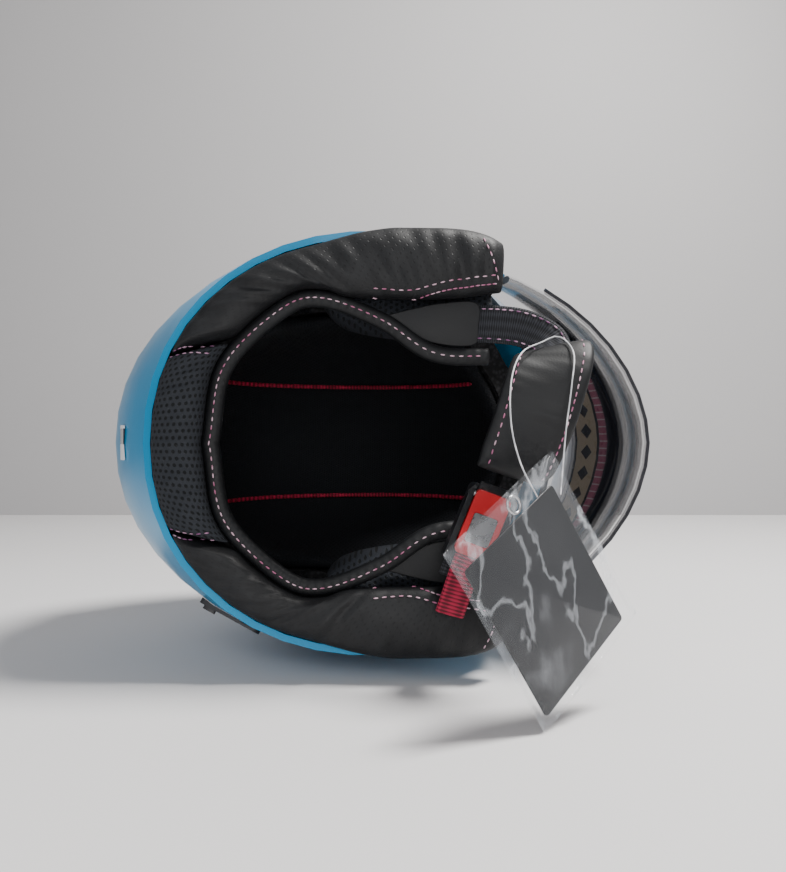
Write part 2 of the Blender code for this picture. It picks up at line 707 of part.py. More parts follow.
def make_shell_fittings(seat):
    plastic = material("black_plastic", (0.015, 0.015, 0.017), 0.35)
    _, matrix = on_shell(180, 0.030)
    label = rounded_plate(0.021, 0.008, 0.001, -0.004, 0.0006, 2)
    obj = add_object("rear_label", placed(label, matrix), material("label", (0.75, 0.75, 0.76), 0.4))
    cut(obj, seat)
    _, matrix = on_shell(180, REAR_VENT_HEIGHT)
    vent = rounded_plate(0.056, 0.026, 0.010, -0.010, 0.0048, 5)
    bmesh.ops.bevel(vent, geom=[e for e in vent.edges if min(v.co.z for v in e.verts) > 0.0045],
                    offset=0.0022, segments=2, profile=0.5, affect="EDGES", material=-1)
    obj = add_object("rear_vent", placed(vent, matrix), plastic)
    cut(obj, seat)
    for k in range(-1, 2):
        slot = rounded_plate(0.011, 0.0035, 0.0016, 0.0018, 0.012, 2)
        shift = Matrix.Translation((0.0155 * k, 0, 0))
        cut(obj, add_object("vent_slot_%d" % (k + 2), placed(slot, matrix @ shift), plastic))
    _, matrix = on_shell(0, TOP_VENT_HEIGHT)
    base = rounded_plate(0.046, 0.030, 0.012, -0.012, 0.0070, 5)
    bmesh.ops.bevel(base, geom=[e for e in base.edges if min(v.co.z for v in e.verts) > 0.0065],
                    offset=0.0018, segments=2, profile=0.5, affect="EDGES", material=-1)
    obj = add_object("top_vent_base", placed(base, matrix), plastic)
    cut(obj, seat)
    track = rounded_plate(0.0206, 0.0226, 0.0015, 0.0044, 0.012, 2)
    cut(obj, add_object("vent_track", placed(track, matrix), plastic))
    knob = rounded_plate(0.0200, 0.0150, 0.0012, 0.0047, 0.0086, 3)
    rise = Matrix.Translation((0, 0.0035, 0))
    add_object("top_vent_slider", placed(knob, matrix @ rise), plastic, matrix @ Vector((0, 0.0035, 0.0047)))
    _, matrix = on_shell(SLIDER_TURN, SLIDER_HEIGHT)
    plate = rounded_plate(0.040, 0.0085, 0.004, -0.006, 0.0020, 4)
    obj = add_object("slider_plate", placed(plate, matrix), plastic)
    cut(obj, seat)
    groove = rounded_plate(0.0342, 0.0036, 0.0015, 0.0002, 0.012, 2)
    cut(obj, add_object("slider_groove", placed(groove, matrix), plastic))
    knob = rounded_plate(0.0080, 0.0030, 0.0012, 0.0005, 0.0042, 3)
    back = matrix @ Matrix.Translation((-0.0127, 0, 0))
    add_object("sun_slider", placed(knob, back), plastic, back.translation)


# ---------------------------------------------------------------- chin strap

def make_straps():
    """Webbing from both cheeks, and the padded cover that crosses under the chin."""
    webbing = material("webbing", (0.035, 0.037, 0.042), 0.7)
    right = smooth_path([world(0.0400, 0.0685, 0.0080), world(0.056, 0.0675, 0.0010),
                         world(0.072, 0.0650, -0.0030), world(0.084, 0.0590, -0.0075)], 14)
    turn = [world(0.2, 1, 0), world(1, 0.25, 0)]
    bm = sweep(right, lambda i: turn[0].lerp(turn[1], (i / 13) ** 2), band(WEB_WIDTH, WEB_THICKNESS))
    add_object("strap_right", bm, webbing)
    path = smooth_path([world(0.0868, 0.0520, -0.0145), world(0.086, 0.046, -0.0255),
                        world(0.081, 0.033, -0.0335), world(0.074, 0.012, -0.0365),
                        world(0.067, -0.007, -0.0335), world(0.062, -0.0175, -0.0285)], 18)
    bm = sweep(path, lambda i: world(1, 0.25, 0), band(PAD_WIDTH, PAD_THICKNESS))
    add_object("strap_pad", bm, material("leatherette", (0.03, 0.032, 0.036), 0.45))
    side = BUCKLE @ Vector((BUCKLE_LENGTH / 2 + 0.0016, 0, -0.0033))
    along = BUCKLE.to_3x3() @ Vector((0.006, 0, 0))
    left = smooth_path([side, side + along, world(0.0370, -0.0740, -0.0095), world(0.0490, -0.0705, 0.0025)], 12)
    across = BUCKLE.to_3x3() @ Vector((0, 1, 0))
    bm = sweep(left, lambda i: across.lerp(world(1, -0.2, 0), i / 11), band(WEB_WIDTH, WEB_THICKNESS))
    add_object("strap_left", bm, webbing)


def buckle_frame():
    """Local x from the chin to the left cheek, y across the strap, z away from the head."""
    x_axis = world(-0.36, -0.92, 0.10).normalized()
    z_axis = world(0.05, -0.10, -1.0)
    z_axis = (z_axis - x_axis * z_axis.dot(x_axis)).normalized()
    y_axis = z_axis.cross(x_axis)
    matrix = Matrix((x_axis, y_axis, z_axis)).transposed().to_4x4()
    matrix.translation = world(0.0465, -0.0455, -0.0245)
    return matrix


BUCKLE = buckle_frame()


def make_buckle():
    """Micrometric buckle: channel, hinge pin, lever with its plate, toothed strap and pull tab."""
    black = material("buckle_black", (0.012, 0.012, 0.014), 0.3)
    red = material("lever_red", (0.55, 0.02, 0.02), 0.35)
    steel = material("steel", (0.6, 0.6, 0.62), 0.25, 1.0)
    length, width, depth = BUCKLE_LENGTH, BUCKLE_WIDTH, BUCKLE_DEPTH
    floor = -0.0045
    body = rounded_plate(length, width, 0.003, floor, floor + depth, 3)
    obj = add_object("buckle_body", placed(body, BUCKLE), black)
    room = rounded_plate(length + 0.02, width - 0.0056, 0.001, floor + 0.0022, 0.02, 1)
    cut(obj, add_object("buckle_room", placed(room, BUCKLE), black))
    pin_at = Vector((-length / 2 + 0.005, 0, floor + depth - 0.0028))
    across = Matrix.Rotation(math.pi / 2, 4, "X")
    hole = turned([(0, -0.03), (0.0018, -0.03), (0.0018, 0.03), (0, 0.03)], 16)
    cut(obj, add_object("pin_hole", placed(hole, BUCKLE @ Matrix.Translation(pin_at) @ across), black))
    half = width / 2
    pin = turned([(0, -half), (0.0015, -half), (0.0015, half), (0, half)], 16)
    axis = BUCKLE @ Matrix.Translation(pin_at)
    add_object("buckle_pin", placed(pin, axis @ across), steel, axis.translation)
    lever_width = width - 0.0072
    lever = rounded_plate(LEVER_LENGTH, lever_width, 0.003, 0.0006, 0.0042, 4)
    shift = Matrix.Translation((LEVER_LENGTH / 2 - 0.0035, 0, 0))
    obj = add_object("buckle_lever", placed(lever, axis @ shift), red, axis.translation)
    window = rounded_plate(0.0166, lever_width - 0.006, 0.0015, 0.0030, 0.02, 3)
    place = Matrix.Translation((LEVER_LENGTH / 2 - 0.001, 0, 0))
    cut(obj, add_object("lever_window", placed(window, axis @ place), red))
    bore = turned([(0, -0.03), (0.0018, -0.03), (0.0018, 0.03), (0, 0.03)], 16)
    cut(obj, add_object("lever_bore", placed(bore, axis @ across), red))
    plate = rounded_plate(0.0160, lever_width - 0.0066, 0.0013, 0.0033, 0.0045, 3)
    add_object("buckle_plate", placed(plate, axis @ place), steel, axis.translation)
    make_ratchet(floor, black)
    end = axis @ shift @ Vector((LEVER_LENGTH / 2 + 0.0006, 0, 0.0024))
    down = BUCKLE.to_3x3()
    path = smooth_path([end, end + down @ Vector((0.010, 0, 0.0015)), end + down @ Vector((0.022, 0.001, 0.0005)),
                        end + down @ Vector((0.034, 0.002, -0.0015))], 10)
    tab = sweep(path, lambda i: down @ Vector((0, 1, 0)), band(0.016, 0.0016))
    add_object("pull_tab", tab, material("tab_red", (0.20, 0.004, 0.02), 0.7), axis.translation)


def make_ratchet(floor, black):
    """Toothed tongue that runs in the buckle's channel."""
    z0 = floor + 0.0025
    start, stop, pitch = -0.0240, 0.0110, 0.0022
    outline = [(start, z0), (stop, z0), (stop, z0 + 0.0011)]
    x = stop
    while x - pitch > start + 0.012:
        outline.append((x - 0.0002, z0 + 0.0019))
        outline.append((x - pitch, z0 + 0.0011))
        x -= pitch
    outline.append((start, z0 + 0.0011))
    bm = prism(outline, -0.0085, 0.0085)
    turn = Matrix.Rotation(math.pi / 2, 4, "X")
    add_object("ratchet_strap", placed(bm, BUCKLE @ turn), black, BUCKLE.translation)


def make_anchors():
    """Steel plates that hold the webbing in the cheeks, each with its rivet head."""
    steel = material("steel", (0.6, 0.6, 0.62), 0.25, 1.0)
    for side in (1, -1):
        name = side_name(side)
        z_axis = world(0, 0, -1)
        x_axis = world(-1, 0, 0)
        matrix = Matrix((x_axis, z_axis.cross(x_axis), z_axis)).transposed().to_4x4()
        matrix.translation = world(0.030, side * 0.0695, 0.0085)
        plate = rounded_plate(0.017, 0.0145, 0.003, -0.0012, 0.0, 4)
        add_object("strap_anchor_" + name, placed(plate, matrix), steel)
        rivet = turned([(0, GAP), (0.0042, GAP), (0.0042, 0.0010), (0.0028, 0.0020), (0, 0.0020)], 16)
        add_object("anchor_rivet_" + name, placed(rivet, matrix), steel)


# ---------------------------------------------------------------- hang tag

def tag_frame():
    """Local x along the pouch's mouth, y towards the mouth, z out of the face that shows."""
    top = world(0.0785, -0.0200, -0.0600)
    left = world(0.0315, -0.0565, -0.1040)
    right = world(0.1180, -0.0900, -0.0440)
    x_axis = (top - left).normalized()
    y_axis = (top - right)
    y_axis = (y_axis - x_axis * y_axis.dot(x_axis)).normalized()
    z_axis = x_axis.cross(y_axis)
    matrix = Matrix((x_axis, y_axis, z_axis)).transposed().to_4x4()
    matrix.translation = (left + right) / 2
    return matrix


def make_tag():
    film = material("pouch_film", (0.8, 0.82, 0.84), 0.12, 0.0, 0.3)
    card_mat = material("card_black", (0.012, 0.012, 0.013), 0.35)
    frame = tag_frame()
    shift = Matrix.Translation((0.003, 0.004, 0))
    pouch = rounded_plate(POUCH_WIDTH, POUCH_HEIGHT, 0.002, -POUCH_DEPTH / 2, POUCH_DEPTH / 2, 2)
    obj = add_object("tag_pouch", placed(pouch, frame @ shift), film)
    room = rounded_plate(POUCH_WIDTH - 0.004, POUCH_HEIGHT, 0.002, -POUCH_DEPTH / 2 + FILM,
                         POUCH_DEPTH / 2 - FILM, 2)
    cutter = add_object("pouch_room", placed(room, frame @ shift @ Matrix.Translation((0, 0.003, 0))), film)
    cut(obj, cutter)
    card = rounded_plate(CARD_WIDTH, CARD_HEIGHT, 0.001, -0.0005, 0.0005, 1)
    add_object("tag_card", placed(card, frame), card_mat)
    return frame


THREAD_ROUTE = [(0.0720, -0.0270, -0.0600), (0.0640, -0.0100, -0.0560), (0.0600, 0.0100, -0.0500),
                (0.0610, 0.0330, -0.0440), (0.0680, 0.0480, -0.0330), (0.0800, 0.0545, -0.0230),
                (0.0900, 0.0580, -0.0205), (0.0950, 0.0480, -0.0345), (0.0920, 0.0300, -0.0440),
                (0.0880, 0.0080, -0.0500), (0.0850, -0.0120, -0.0560), (0.0830, -0.0250, -0.0605)]


def make_thread():
    """Loose nylon thread from the pouch up over the strap cover and back."""
    curve = bpy.data.curves.new("tag_thread", "CURVE")
    curve.dimensions = "3D"
    curve.bevel_depth = THREAD_RADIUS
    curve.bevel_resolution = 2
    curve.use_fill_caps = True
    points = smooth_path([world(*p) for p in THREAD_ROUTE], 56)
    spline = curve.splines.new("POLY")
    spline.points.add(len(points) - 1)
    for point, co in zip(spline.points, points):
        point.co = (*co, 1.0)
    curve.materials.append(material("nylon", (0.7, 0.7, 0.72), 0.3))
    obj = bpy.data.objects.new("tag_thread", curve)
    bpy.context.scene.collection.objects.link(obj)


CORD_NODES = ("tag_thread", "tag_pouch", "tag_card")


def settle_on_origin():
    """Move everything so that the box of the helmet itself stands on the origin."""
    bpy.context.view_layer.update()
    graph = bpy.context.evaluated_depsgraph_get()
    low, high = Vector((9, 9, 9)), Vector((-9, -9, -9))
    for obj in bpy.context.scene.objects:
        if obj.hide_render or obj.name in CORD_NODES:
            continue
        mesh = obj.evaluated_get(graph).to_mesh()
        for vertex in mesh.vertices:
            p = obj.matrix_world @ vertex.co
            low = Vector(map(min, low, p))
            high = Vector(map(max, high, p))
    shift = Vector(((low.x + high.x) / 2, (low.y + high.y) / 2, low.z))
    for obj in bpy.context.scene.objects:
        obj.location -= shift


def build():
    for obj in list(bpy.data.objects):
        bpy.data.objects.remove(obj)
    seat = make_shell()
    make_liner()
    make_neck_roll()
    make_binding()
    for side in (1, -1):
        make_liner_piping(side)
        make_cheek(side)
        make_pivot(side, seat)
    make_visor()
    make_sun_visor()
    make_shell_fittings(seat)
    make_straps()
    make_buckle()
    make_anchors()
    make_tag()
    make_thread()
    settle_on_origin()


build()
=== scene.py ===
"""Looks of an open face motorcycle helmet that lies on its left side.

Helmet axes: f forward, r to the wearer's right, u from the neck rim to the crown. Metres.
"""
import json
import math

import bmesh
import bpy
from mathutils import Matrix, Vector, noise
from mathutils.bvhtree import BVHTree

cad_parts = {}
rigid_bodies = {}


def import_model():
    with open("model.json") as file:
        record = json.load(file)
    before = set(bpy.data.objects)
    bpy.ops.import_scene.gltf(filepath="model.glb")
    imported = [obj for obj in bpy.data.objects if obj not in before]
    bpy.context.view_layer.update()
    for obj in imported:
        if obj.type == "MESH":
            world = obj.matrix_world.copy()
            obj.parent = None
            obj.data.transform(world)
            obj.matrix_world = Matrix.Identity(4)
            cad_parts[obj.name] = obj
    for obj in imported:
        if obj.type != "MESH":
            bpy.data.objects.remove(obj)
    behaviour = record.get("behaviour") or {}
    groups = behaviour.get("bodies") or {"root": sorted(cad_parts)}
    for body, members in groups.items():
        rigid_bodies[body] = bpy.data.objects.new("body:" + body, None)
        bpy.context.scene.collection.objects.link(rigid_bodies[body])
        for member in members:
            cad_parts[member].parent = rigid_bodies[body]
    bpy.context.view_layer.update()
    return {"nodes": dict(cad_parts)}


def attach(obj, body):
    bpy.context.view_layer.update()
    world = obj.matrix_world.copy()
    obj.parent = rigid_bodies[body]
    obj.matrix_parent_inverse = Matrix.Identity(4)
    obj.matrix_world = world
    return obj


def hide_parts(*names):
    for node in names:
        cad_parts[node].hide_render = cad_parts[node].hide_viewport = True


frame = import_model()

# Sizes shared with the frame
SHELL_CENTRE_F = -0.012
RIM_REAR, RIM_HALF_WIDTH, RIM_FRONT = 0.130, 0.1205, 0.122
FACE_EDGE_F = 0.066
PIVOT_HEIGHT = 0.130
THREAD_RADIUS = 0.0004
STITCH_PITCH = 0.0046
MERGE = 1e-6

# The helmet's own origin in the frame, and the visor's hinge
HERE = Vector((0.01537, -0.10182, 0.1335))
HINGE = HERE + Vector((0, PIVOT_HEIGHT, 0))
BODY = "helmet"


def at(f, r, u):
    """World point of a place on the helmet."""
    return HERE + Vector((f, u, r))


# ---------------------------------------------------------------- shader writing

class Wire:
    """A shader socket that takes part in Python arithmetic."""

    def __init__(self, tree, socket):
        self.tree, self.socket = tree, socket

    def maths(self, operation, *values):
        node = self.tree.nodes.new("ShaderNodeMath")
        node.operation = operation
        for slot, value in zip(node.inputs, values):
            if isinstance(value, Wire):
                self.tree.links.new(value.socket, slot)
            else:
                slot.default_value = value
        return Wire(self.tree, node.outputs[0])

    def __add__(self, other):
        return self.maths("ADD", self, other)

    def __radd__(self, other):
        return self.maths("ADD", other, self)

    def __sub__(self, other):
        return self.maths("SUBTRACT", self, other)

    def __rsub__(self, other):
        return self.maths("SUBTRACT", other, self)

    def __mul__(self, other):
        return self.maths("MULTIPLY", self, other)

    def __rmul__(self, other):
        return self.maths("MULTIPLY", other, self)

    def __truediv__(self, other):
        return self.maths("DIVIDE", self, other)

    def __rtruediv__(self, other):
        return self.maths("DIVIDE", other, self)

    def floor(self):
        return self.maths("FLOOR", self)

    def sin(self):
        return self.maths("SINE", self)

    def fract(self):
        return self.maths("FRACT", self)

    def abs(self):
        return self.maths("ABSOLUTE", self)

    def above(self, limit):
        return self.maths("GREATER_THAN", self, limit)

    def below(self, limit):
        return self.maths("LESS_THAN", self, limit)

    def root(self):
        return self.maths("SQRT", self)

    def soft(self, low, high):
        node = self.tree.nodes.new("ShaderNodeMapRange")
        node.interpolation_type = "SMOOTHSTEP"
        self.tree.links.new(self.socket, node.inputs["Value"])
        node.inputs["From Min"].default_value = low
        node.inputs["From Max"].default_value = high
        return Wire(self.tree, node.outputs[0])


class Finish:
    """A material with one Principled shader and a few ways to write its nodes."""

    def __init__(self, name, colour, roughness, metallic=0.0):
        self.mat = bpy.data.materials.new(name)
        self.mat.use_nodes = True
        self.tree = self.mat.node_tree
        self.shader = self.tree.nodes["Principled BSDF"]
        self.set("Base Color", (*colour, 1.0))
        self.set("Roughness", roughness)
        self.set("Metallic", metallic)
        self.set("Specular IOR Level", 0.32)
        self.colour = colour

    def set(self, socket, value):
        if isinstance(value, Wire):
            self.tree.links.new(value.socket, self.shader.inputs[socket])
        else:
            self.shader.inputs[socket].default_value = value

    def node(self, kind, output=0, settings=None, **sockets):
        made = self.tree.nodes.new(kind)
        for key, value in (settings or {}).items():
            setattr(made, key, value)
        for key, value in sockets.items():
            slot = made.inputs[key.replace("_", " ")]
            if isinstance(value, Wire):
                self.tree.links.new(value.socket, slot)
            else:
                slot.default_value = value
        return Wire(self.tree, made.outputs[output])

    def place(self, source="Object"):
        coords = self.node("ShaderNodeTexCoord", source)
        split = self.tree.nodes.new("ShaderNodeSeparateXYZ")
        self.tree.links.new(coords.socket, split.inputs[0])
        return coords, [Wire(self.tree, out) for out in split.outputs]

    def noise(self, vector, scale, detail=3.0):
        return self.node("ShaderNodeTexNoise", "Fac", None, Vector=vector, Scale=scale, Detail=detail)

    def tint(self, factor, first, second):
        mix = self.tree.nodes.new("ShaderNodeMix")
        mix.data_type = "RGBA"
        self.tree.links.new(factor.socket, mix.inputs[0])
        for slot, colour in ((mix.inputs[6], first), (mix.inputs[7], second)):
            if isinstance(colour, Wire):
                self.tree.links.new(colour.socket, slot)
            else:
                slot.default_value = (*colour, 1.0)
        return Wire(self.tree, mix.outputs[2])

    def bump(self, height, strength, distance):
        bump = self.node("ShaderNodeBump", 0, None, Height=height, Strength=strength, Distance=distance)
        self.set("Normal", bump)


# ---------------------------------------------------------------- modelling

def smooth_path(points, count):
    """Evenly spaced points on a smooth curve through the given ones."""
    pts = [Vector(p) for p in points]
    pts = [pts[0] * 2 - pts[1]] + pts + [pts[-1] * 2 - pts[-2]]
    fine = []
    for a, b, c, d in zip(pts, pts[1:], pts[2:], pts[3:]):
        for k in range(24):
            t = k / 24
            fine.append(0.5 * (2 * b + (c - a) * t + (2 * a - 5 * b + 4 * c - d) * t * t
                               + (3 * b - a - 3 * c + d) * t ** 3))
    fine.append(pts[-2])
    lengths = [0.0]
    for p, q in zip(fine, fine[1:]):
        lengths.append(lengths[-1] + (q - p).length)
    result = []
    k = 0
    for i in range(count):
        want = lengths[-1] * i / (count - 1)
        while k < len(fine) - 2 and lengths[k + 1] < want:
            k += 1
        span = lengths[k + 1] - lengths[k]
        result.append(fine[k].lerp(fine[k + 1], (want - lengths[k]) / span))
    return result


def walk(points, s):
    """Point at the share s along a list of points."""
    place = min(max(s, 0.0), 1.0) * (len(points) - 1)
    k = min(int(place), len(points) - 2)
    return points[k].lerp(points[k + 1], place - k)


def path_length(points):
    return sum((q - p).length for p, q in zip(points, points[1:]))


def add_piece(name, bm, finish, body=BODY, levels=0, stands_for=()):
    """Turns a bmesh into a smooth shaded piece that goes with a body."""
    bmesh.ops.recalc_face_normals(bm, faces=bm.faces)
    for face in bm.faces:
        face.smooth = True
    mesh = bpy.data.meshes.new(name)
    bm.to_mesh(mesh)
    bm.free()
    mesh.materials.append(finish.mat)
    obj = bpy.data.objects.new(name, mesh)
    bpy.context.scene.collection.objects.link(obj)
    if levels:
        subsurf = obj.modifiers.new("Subsurf", "SUBSURF")
        subsurf.levels = subsurf.render_levels = levels
    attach(obj, body)
    if stands_for:
        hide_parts(*stands_for)
    return obj


def tube(name, along, around, place, finish, scale=(1.0, 1.0), closed=False, **facts):
    """A grid rolled up and welded: place(s, t) gives its points. scale is its UV size in metres."""
    bm = bmesh.new()
    layer = bm.loops.layers.uv.new("UVMap")
    bmesh.ops.create_grid(bm, x_segments=along, y_segments=around, size=0.5, calc_uvs=True)
    for vert in bm.verts:
        vert.co = place(vert.co.x + 0.5, vert.co.y + 0.5)
    for face in bm.faces:
        for loop in face.loops:
            u, v = loop[layer].uv
            loop[layer].uv = (u * scale[0], v * scale[1])
    bmesh.ops.remove_doubles(bm, verts=bm.verts, dist=MERGE)
    if not closed:
        bmesh.ops.holes_fill(bm, edges=[e for e in bm.edges if e.is_boundary])
    return add_piece(name, bm, finish, **facts)


def signed_power(value, power):
    return math.copysign(abs(value) ** power, value)


class Ribbon:
    """A flat strap along a path: a runs across it and b out of its face."""

    def __init__(self, points, across, width, thickness, square=0.35):
        self.points, self.across = points, across
        self.width, self.thickness, self.square = width, thickness, square
        self.length = path_length(points)

    def axes(self, s):
        step = 0.5 / len(self.points)
        tangent = (walk(self.points, s + step) - walk(self.points, s - step)).normalized()
        side = self.across(s)
        side = (side - tangent * side.dot(tangent)).normalized()
        return tangent, side, tangent.cross(side)

    def spot(self, s, a, b):
        _, side, normal = self.axes(s)
        return walk(self.points, s) + side * a + normal * b

    def place(self, s, t):
        turn = 2 * math.pi * (t % 1.0)
        a = signed_power(math.cos(turn), self.square) * self.width / 2
        b = signed_power(math.sin(turn), 0.7) * self.thickness / 2
        return self.spot(s, a, b)

    def build(self, name, finish, along, around=16, **facts):
        return tube(name, along, around, self.place, finish, (self.length, 2 * self.width), **facts)

    def row(self, a, b, first=0.03, last=0.97, count=60):
        """Places and normals of a seam along the strap."""
        spots = []
        for k in range(count):
            s = first + (last - first) * k / (count - 1)
            normal = self.axes(s)[2]
            spots.append((self.spot(s, a, b), normal if b > 0 else -normal))
        return spots


def merged_copy(node):
    """The CAD node's mesh with its faces joined up, and the body that it goes with."""
    source = frame["nodes"][node]
    bm = bmesh.new()
    bm.from_mesh(source.data)
    bmesh.ops.remove_doubles(bm, verts=bm.verts, dist=MERGE)
    return bm, source.parent.name.split(":")[1]


def smoothed(node, finish, sharp=32, levels=0):
    """Smooth shaded copy of a hard CAD node, with the corners kept."""
    bm, body = merged_copy(node)
    bmesh.ops.join_triangles(bm, faces=bm.faces, angle_face_threshold=0.6, angle_shape_threshold=0.9)
    crease = bm.edges.layers.float.new("crease_edge")
    for edge in bm.edges:
        edge.smooth = edge.calc_face_angle(0.0) < math.radians(sharp)
        edge[crease] = 0.0 if edge.smooth else 1.0
    return add_piece(node + "_look", bm, finish, body, levels, (node,))


def thread_row(name, spots, pitch, finish, length=0.0030, radius=0.00042, body=BODY):
    """Short stitches along a row of (place, normal)."""
    points = [p for p, _ in spots]
    total = path_length(points)
    bm = bmesh.new()
    count = max(2, int(total / pitch))
    for k in range(count):
        s = (k + 0.5) / count
        place = min(int(s * (len(spots) - 1)), len(spots) - 2)
        here = walk(points, s)
        tangent = (points[place + 1] - points[place]).normalized()
        normal = spots[place][1]
        side = normal.cross(tangent).normalized()
        normal = tangent.cross(side)
        basis = Matrix((tangent, side, normal)).transposed().to_4x4()
        shape = Matrix.Diagonal((length / 2, radius, radius * 0.75, 1.0))
        bmesh.ops.create_uvsphere(bm, u_segments=7, v_segments=5, radius=1.0,
                                  matrix=Matrix.Translation(here) @ basis @ shape)
    return add_piece(name, bm, finish, body)


def surface_of(*objects):
    graph = bpy.context.evaluated_depsgraph_get()
    return [BVHTree.FromObject(obj, graph) for obj in objects]


def seen_from_below(trees, points, lift=0.0002):
    """Drops points (f, r) on the surfaces, from below the neck."""
    spots = []
    up = Vector((0, 1, 0))
    for p in points:
        start = at(p.x, p.y, -0.12)
        hits = [tree.ray_cast(start, up, 0.25) for tree in trees]
        hits = [hit for hit in hits if hit[0] is not None]
        if hits:
            hit = min(hits, key=lambda h: h[3])
            normal = hit[1] if hit[1].y < 0 else -hit[1]
            spots.append((hit[0] + normal * lift, normal))
    return spots


def flat_path(points, count=80):
    return smooth_path([Vector((f, r, 0)) for f, r in points], count)


def plate(width, height, radius, low, high, steps=5, rounding=0.0):
    """Rounded plate in local axes, with softened rims."""
    bm = bmesh.new()
    corners = []
    for turn, sx, sy in ((0, 1, 1), (1, -1, 1), (2, -1, -1), (3, 1, -1)):
        centre = Vector((sx * (width / 2 - radius), sy * (height / 2 - radius), low))
        for k in range(steps + 1):
            angle = math.pi / 2 * (turn + k / steps)
            corners.append(bm.verts.new(centre + Vector((math.cos(angle), math.sin(angle), 0)) * radius))
    face = bm.faces.new(corners)
    made = bmesh.ops.extrude_face_region(bm, geom=[face])
    moved = [v for v in made["geom"] if isinstance(v, bmesh.types.BMVert)]
    bmesh.ops.translate(bm, verts=moved, vec=(0, 0, high - low))
    if rounding:
        rims = [e for e in bm.edges if abs(e.verts[0].co.z - e.verts[1].co.z) < 1e-7]
        bmesh.ops.bevel(bm, geom=rims, offset=rounding, segments=2, profile=0.5, affect="EDGES", material=-1)
    return bm


def placed(bm, matrix):
    bmesh.ops.transform(bm, matrix=matrix, verts=bm.verts)
    return bm


# ---------------------------------------------------------------- finishes

def soft_black(name, colour, roughness, grain, depth):
    """Plastic or rubber with a fine moulded grain."""
    made = Finish(name, colour, roughness)
    coords, _ = made.place()
    fine = made.noise(coords, grain)
    cloud = made.noise(coords, 38.0)
    lighter = tuple(c * 1.5 + 0.004 for c in colour)
    made.set("Base Color", made.tint(cloud.soft(0.35, 0.75), colour, lighter))
    made.set("Roughness", cloud * 0.14 + (roughness - 0.07))
    made.bump(fine, 0.25, depth)
    return made


def paint():
    """Deep blue lacquer with a fine flake under a clear coat."""
    made = Finish("blue_lacquer", (0.003, 0.30, 0.56), 0.24, 0.0)
    coords, _ = made.place()
    flake = made.node("ShaderNodeTexVoronoi", "Distance", None, Vector=coords, Scale=2600.0)
    cloud = made.noise(coords, 9.0)
    body = made.tint(cloud.soft(0.3, 0.8), (0.0005, 0.215, 0.430), (0.001, 0.265, 0.500))
    made.set("Base Color", made.tint(flake.below(0.22), body, (0.004, 0.27, 0.54)))
    made.set("Metallic", 0.08)
    made.set("Specular IOR Level", 0.22)
    made.set("Coat Weight", 0.22)
    made.set("Coat Roughness", 0.05)
    smear = made.noise(coords, 30.0)
    made.set("Roughness", smear * 0.12 + 0.26)
    made.bump(made.noise(coords, 420.0, 2.0), 0.05, 0.0003)
    return made


def dots(across, along, pitch, inner, outer):
    """1 between staggered round holes and 0 in them."""
    v = along * (1 / pitch)
    row = v.floor()
    u = across * (1 / pitch) + row * 0.5
    cx = u.fract() - 0.5
    cy = v.fract() - 0.5
    return (cx * cx + cy * cy).root().soft(inner, outer)


def leatherette(name, pierced, colour=(0.0050, 0.0055, 0.0065)):
    """Soft coated cloth with a pebbled grain, and pierced in rows where it is wanted."""
    made = Finish(name, colour, 0.46)
    coords, _ = made.place()
    grain = made.node("ShaderNodeTexVoronoi", "Distance", None, Vector=coords, Scale=950.0)
    cloud = made.noise(coords, 55.0)
    worn = made.tint(cloud.soft(0.35, 0.7), colour, tuple(c * 1.45 for c in colour))
    height = grain * 0.35
    if pierced:
        _, (u, v, _) = made.place("UV")
        holes = dots(v, u, 0.0034, 0.10, 0.19)
        worn = made.tint(holes, (0.003, 0.003, 0.004), worn)
        height = height + holes * 1.6
    made.set("Base Color", worn)
    made.set("Roughness", cloud * 0.16 + 0.46)
    made.bump(height, 0.35, 0.0003)
    return made


def open_mesh(name, pitch, colour=(0.0045, 0.0055, 0.0075), source="UV"):
    """Knitted spacer cloth with a honeycomb of open cells."""
    made = Finish(name, colour, 0.85)
    coords, (u, v, w) = made.place(source)
    cells = dots(v if source == "UV" else w, u, pitch, 0.20, 0.34)
    fuzz = made.noise(coords, 1400.0, 2.0)
    yarn = made.tint(fuzz, colour, tuple(c * 1.7 for c in colour))
    made.set("Base Color", made.tint(cells, (0.002, 0.003, 0.004), yarn))
    made.bump(cells + fuzz * 0.3, 0.8, 0.0007)
    return made


def thread(name, colour, second):
    """Sewing thread that changes between two shades along the seam."""
    made = Finish(name, colour, 0.55)
    coords, _ = made.place()
    patch = made.noise(coords, 120.0, 1.0)
    made.set("Base Color", made.tint(patch.soft(0.42, 0.58), colour, second))
    made.bump(made.noise(coords, 3000.0, 1.0), 0.3, 0.0001)
    return made


def weave(name, colour, second, pitch=0.0013, source="UV"):
    """Woven band with ribs across its length."""
    made = Finish(name, colour, 0.72)
    _, (u, v, _) = made.place(source)
    rib = (u * (math.tau / pitch)).sin()
    warp = (v * (math.tau / (pitch * 1.6))).sin()
    cloth = rib * 0.5 + warp * 0.35
    made.set("Base Color", made.tint(cloth.soft(-0.6, 0.7), colour, second))
    made.bump(cloth, 0.7, 0.0004)
    return made


def metal(name, colour, roughness):
    made = Finish(name, colour, roughness, 1.0)
    coords, _ = made.place()
    stretched = made.node("ShaderNodeMapping", 0, None, Vector=coords, Scale=(60.0, 900.0, 60.0))
    brushed = made.noise(stretched, 3.0)
    made.set("Roughness", brushed * 0.22 + (roughness - 0.08))
    made.set("Base Color", made.tint(brushed, colour, tuple(c * 0.82 for c in colour)))
    return made


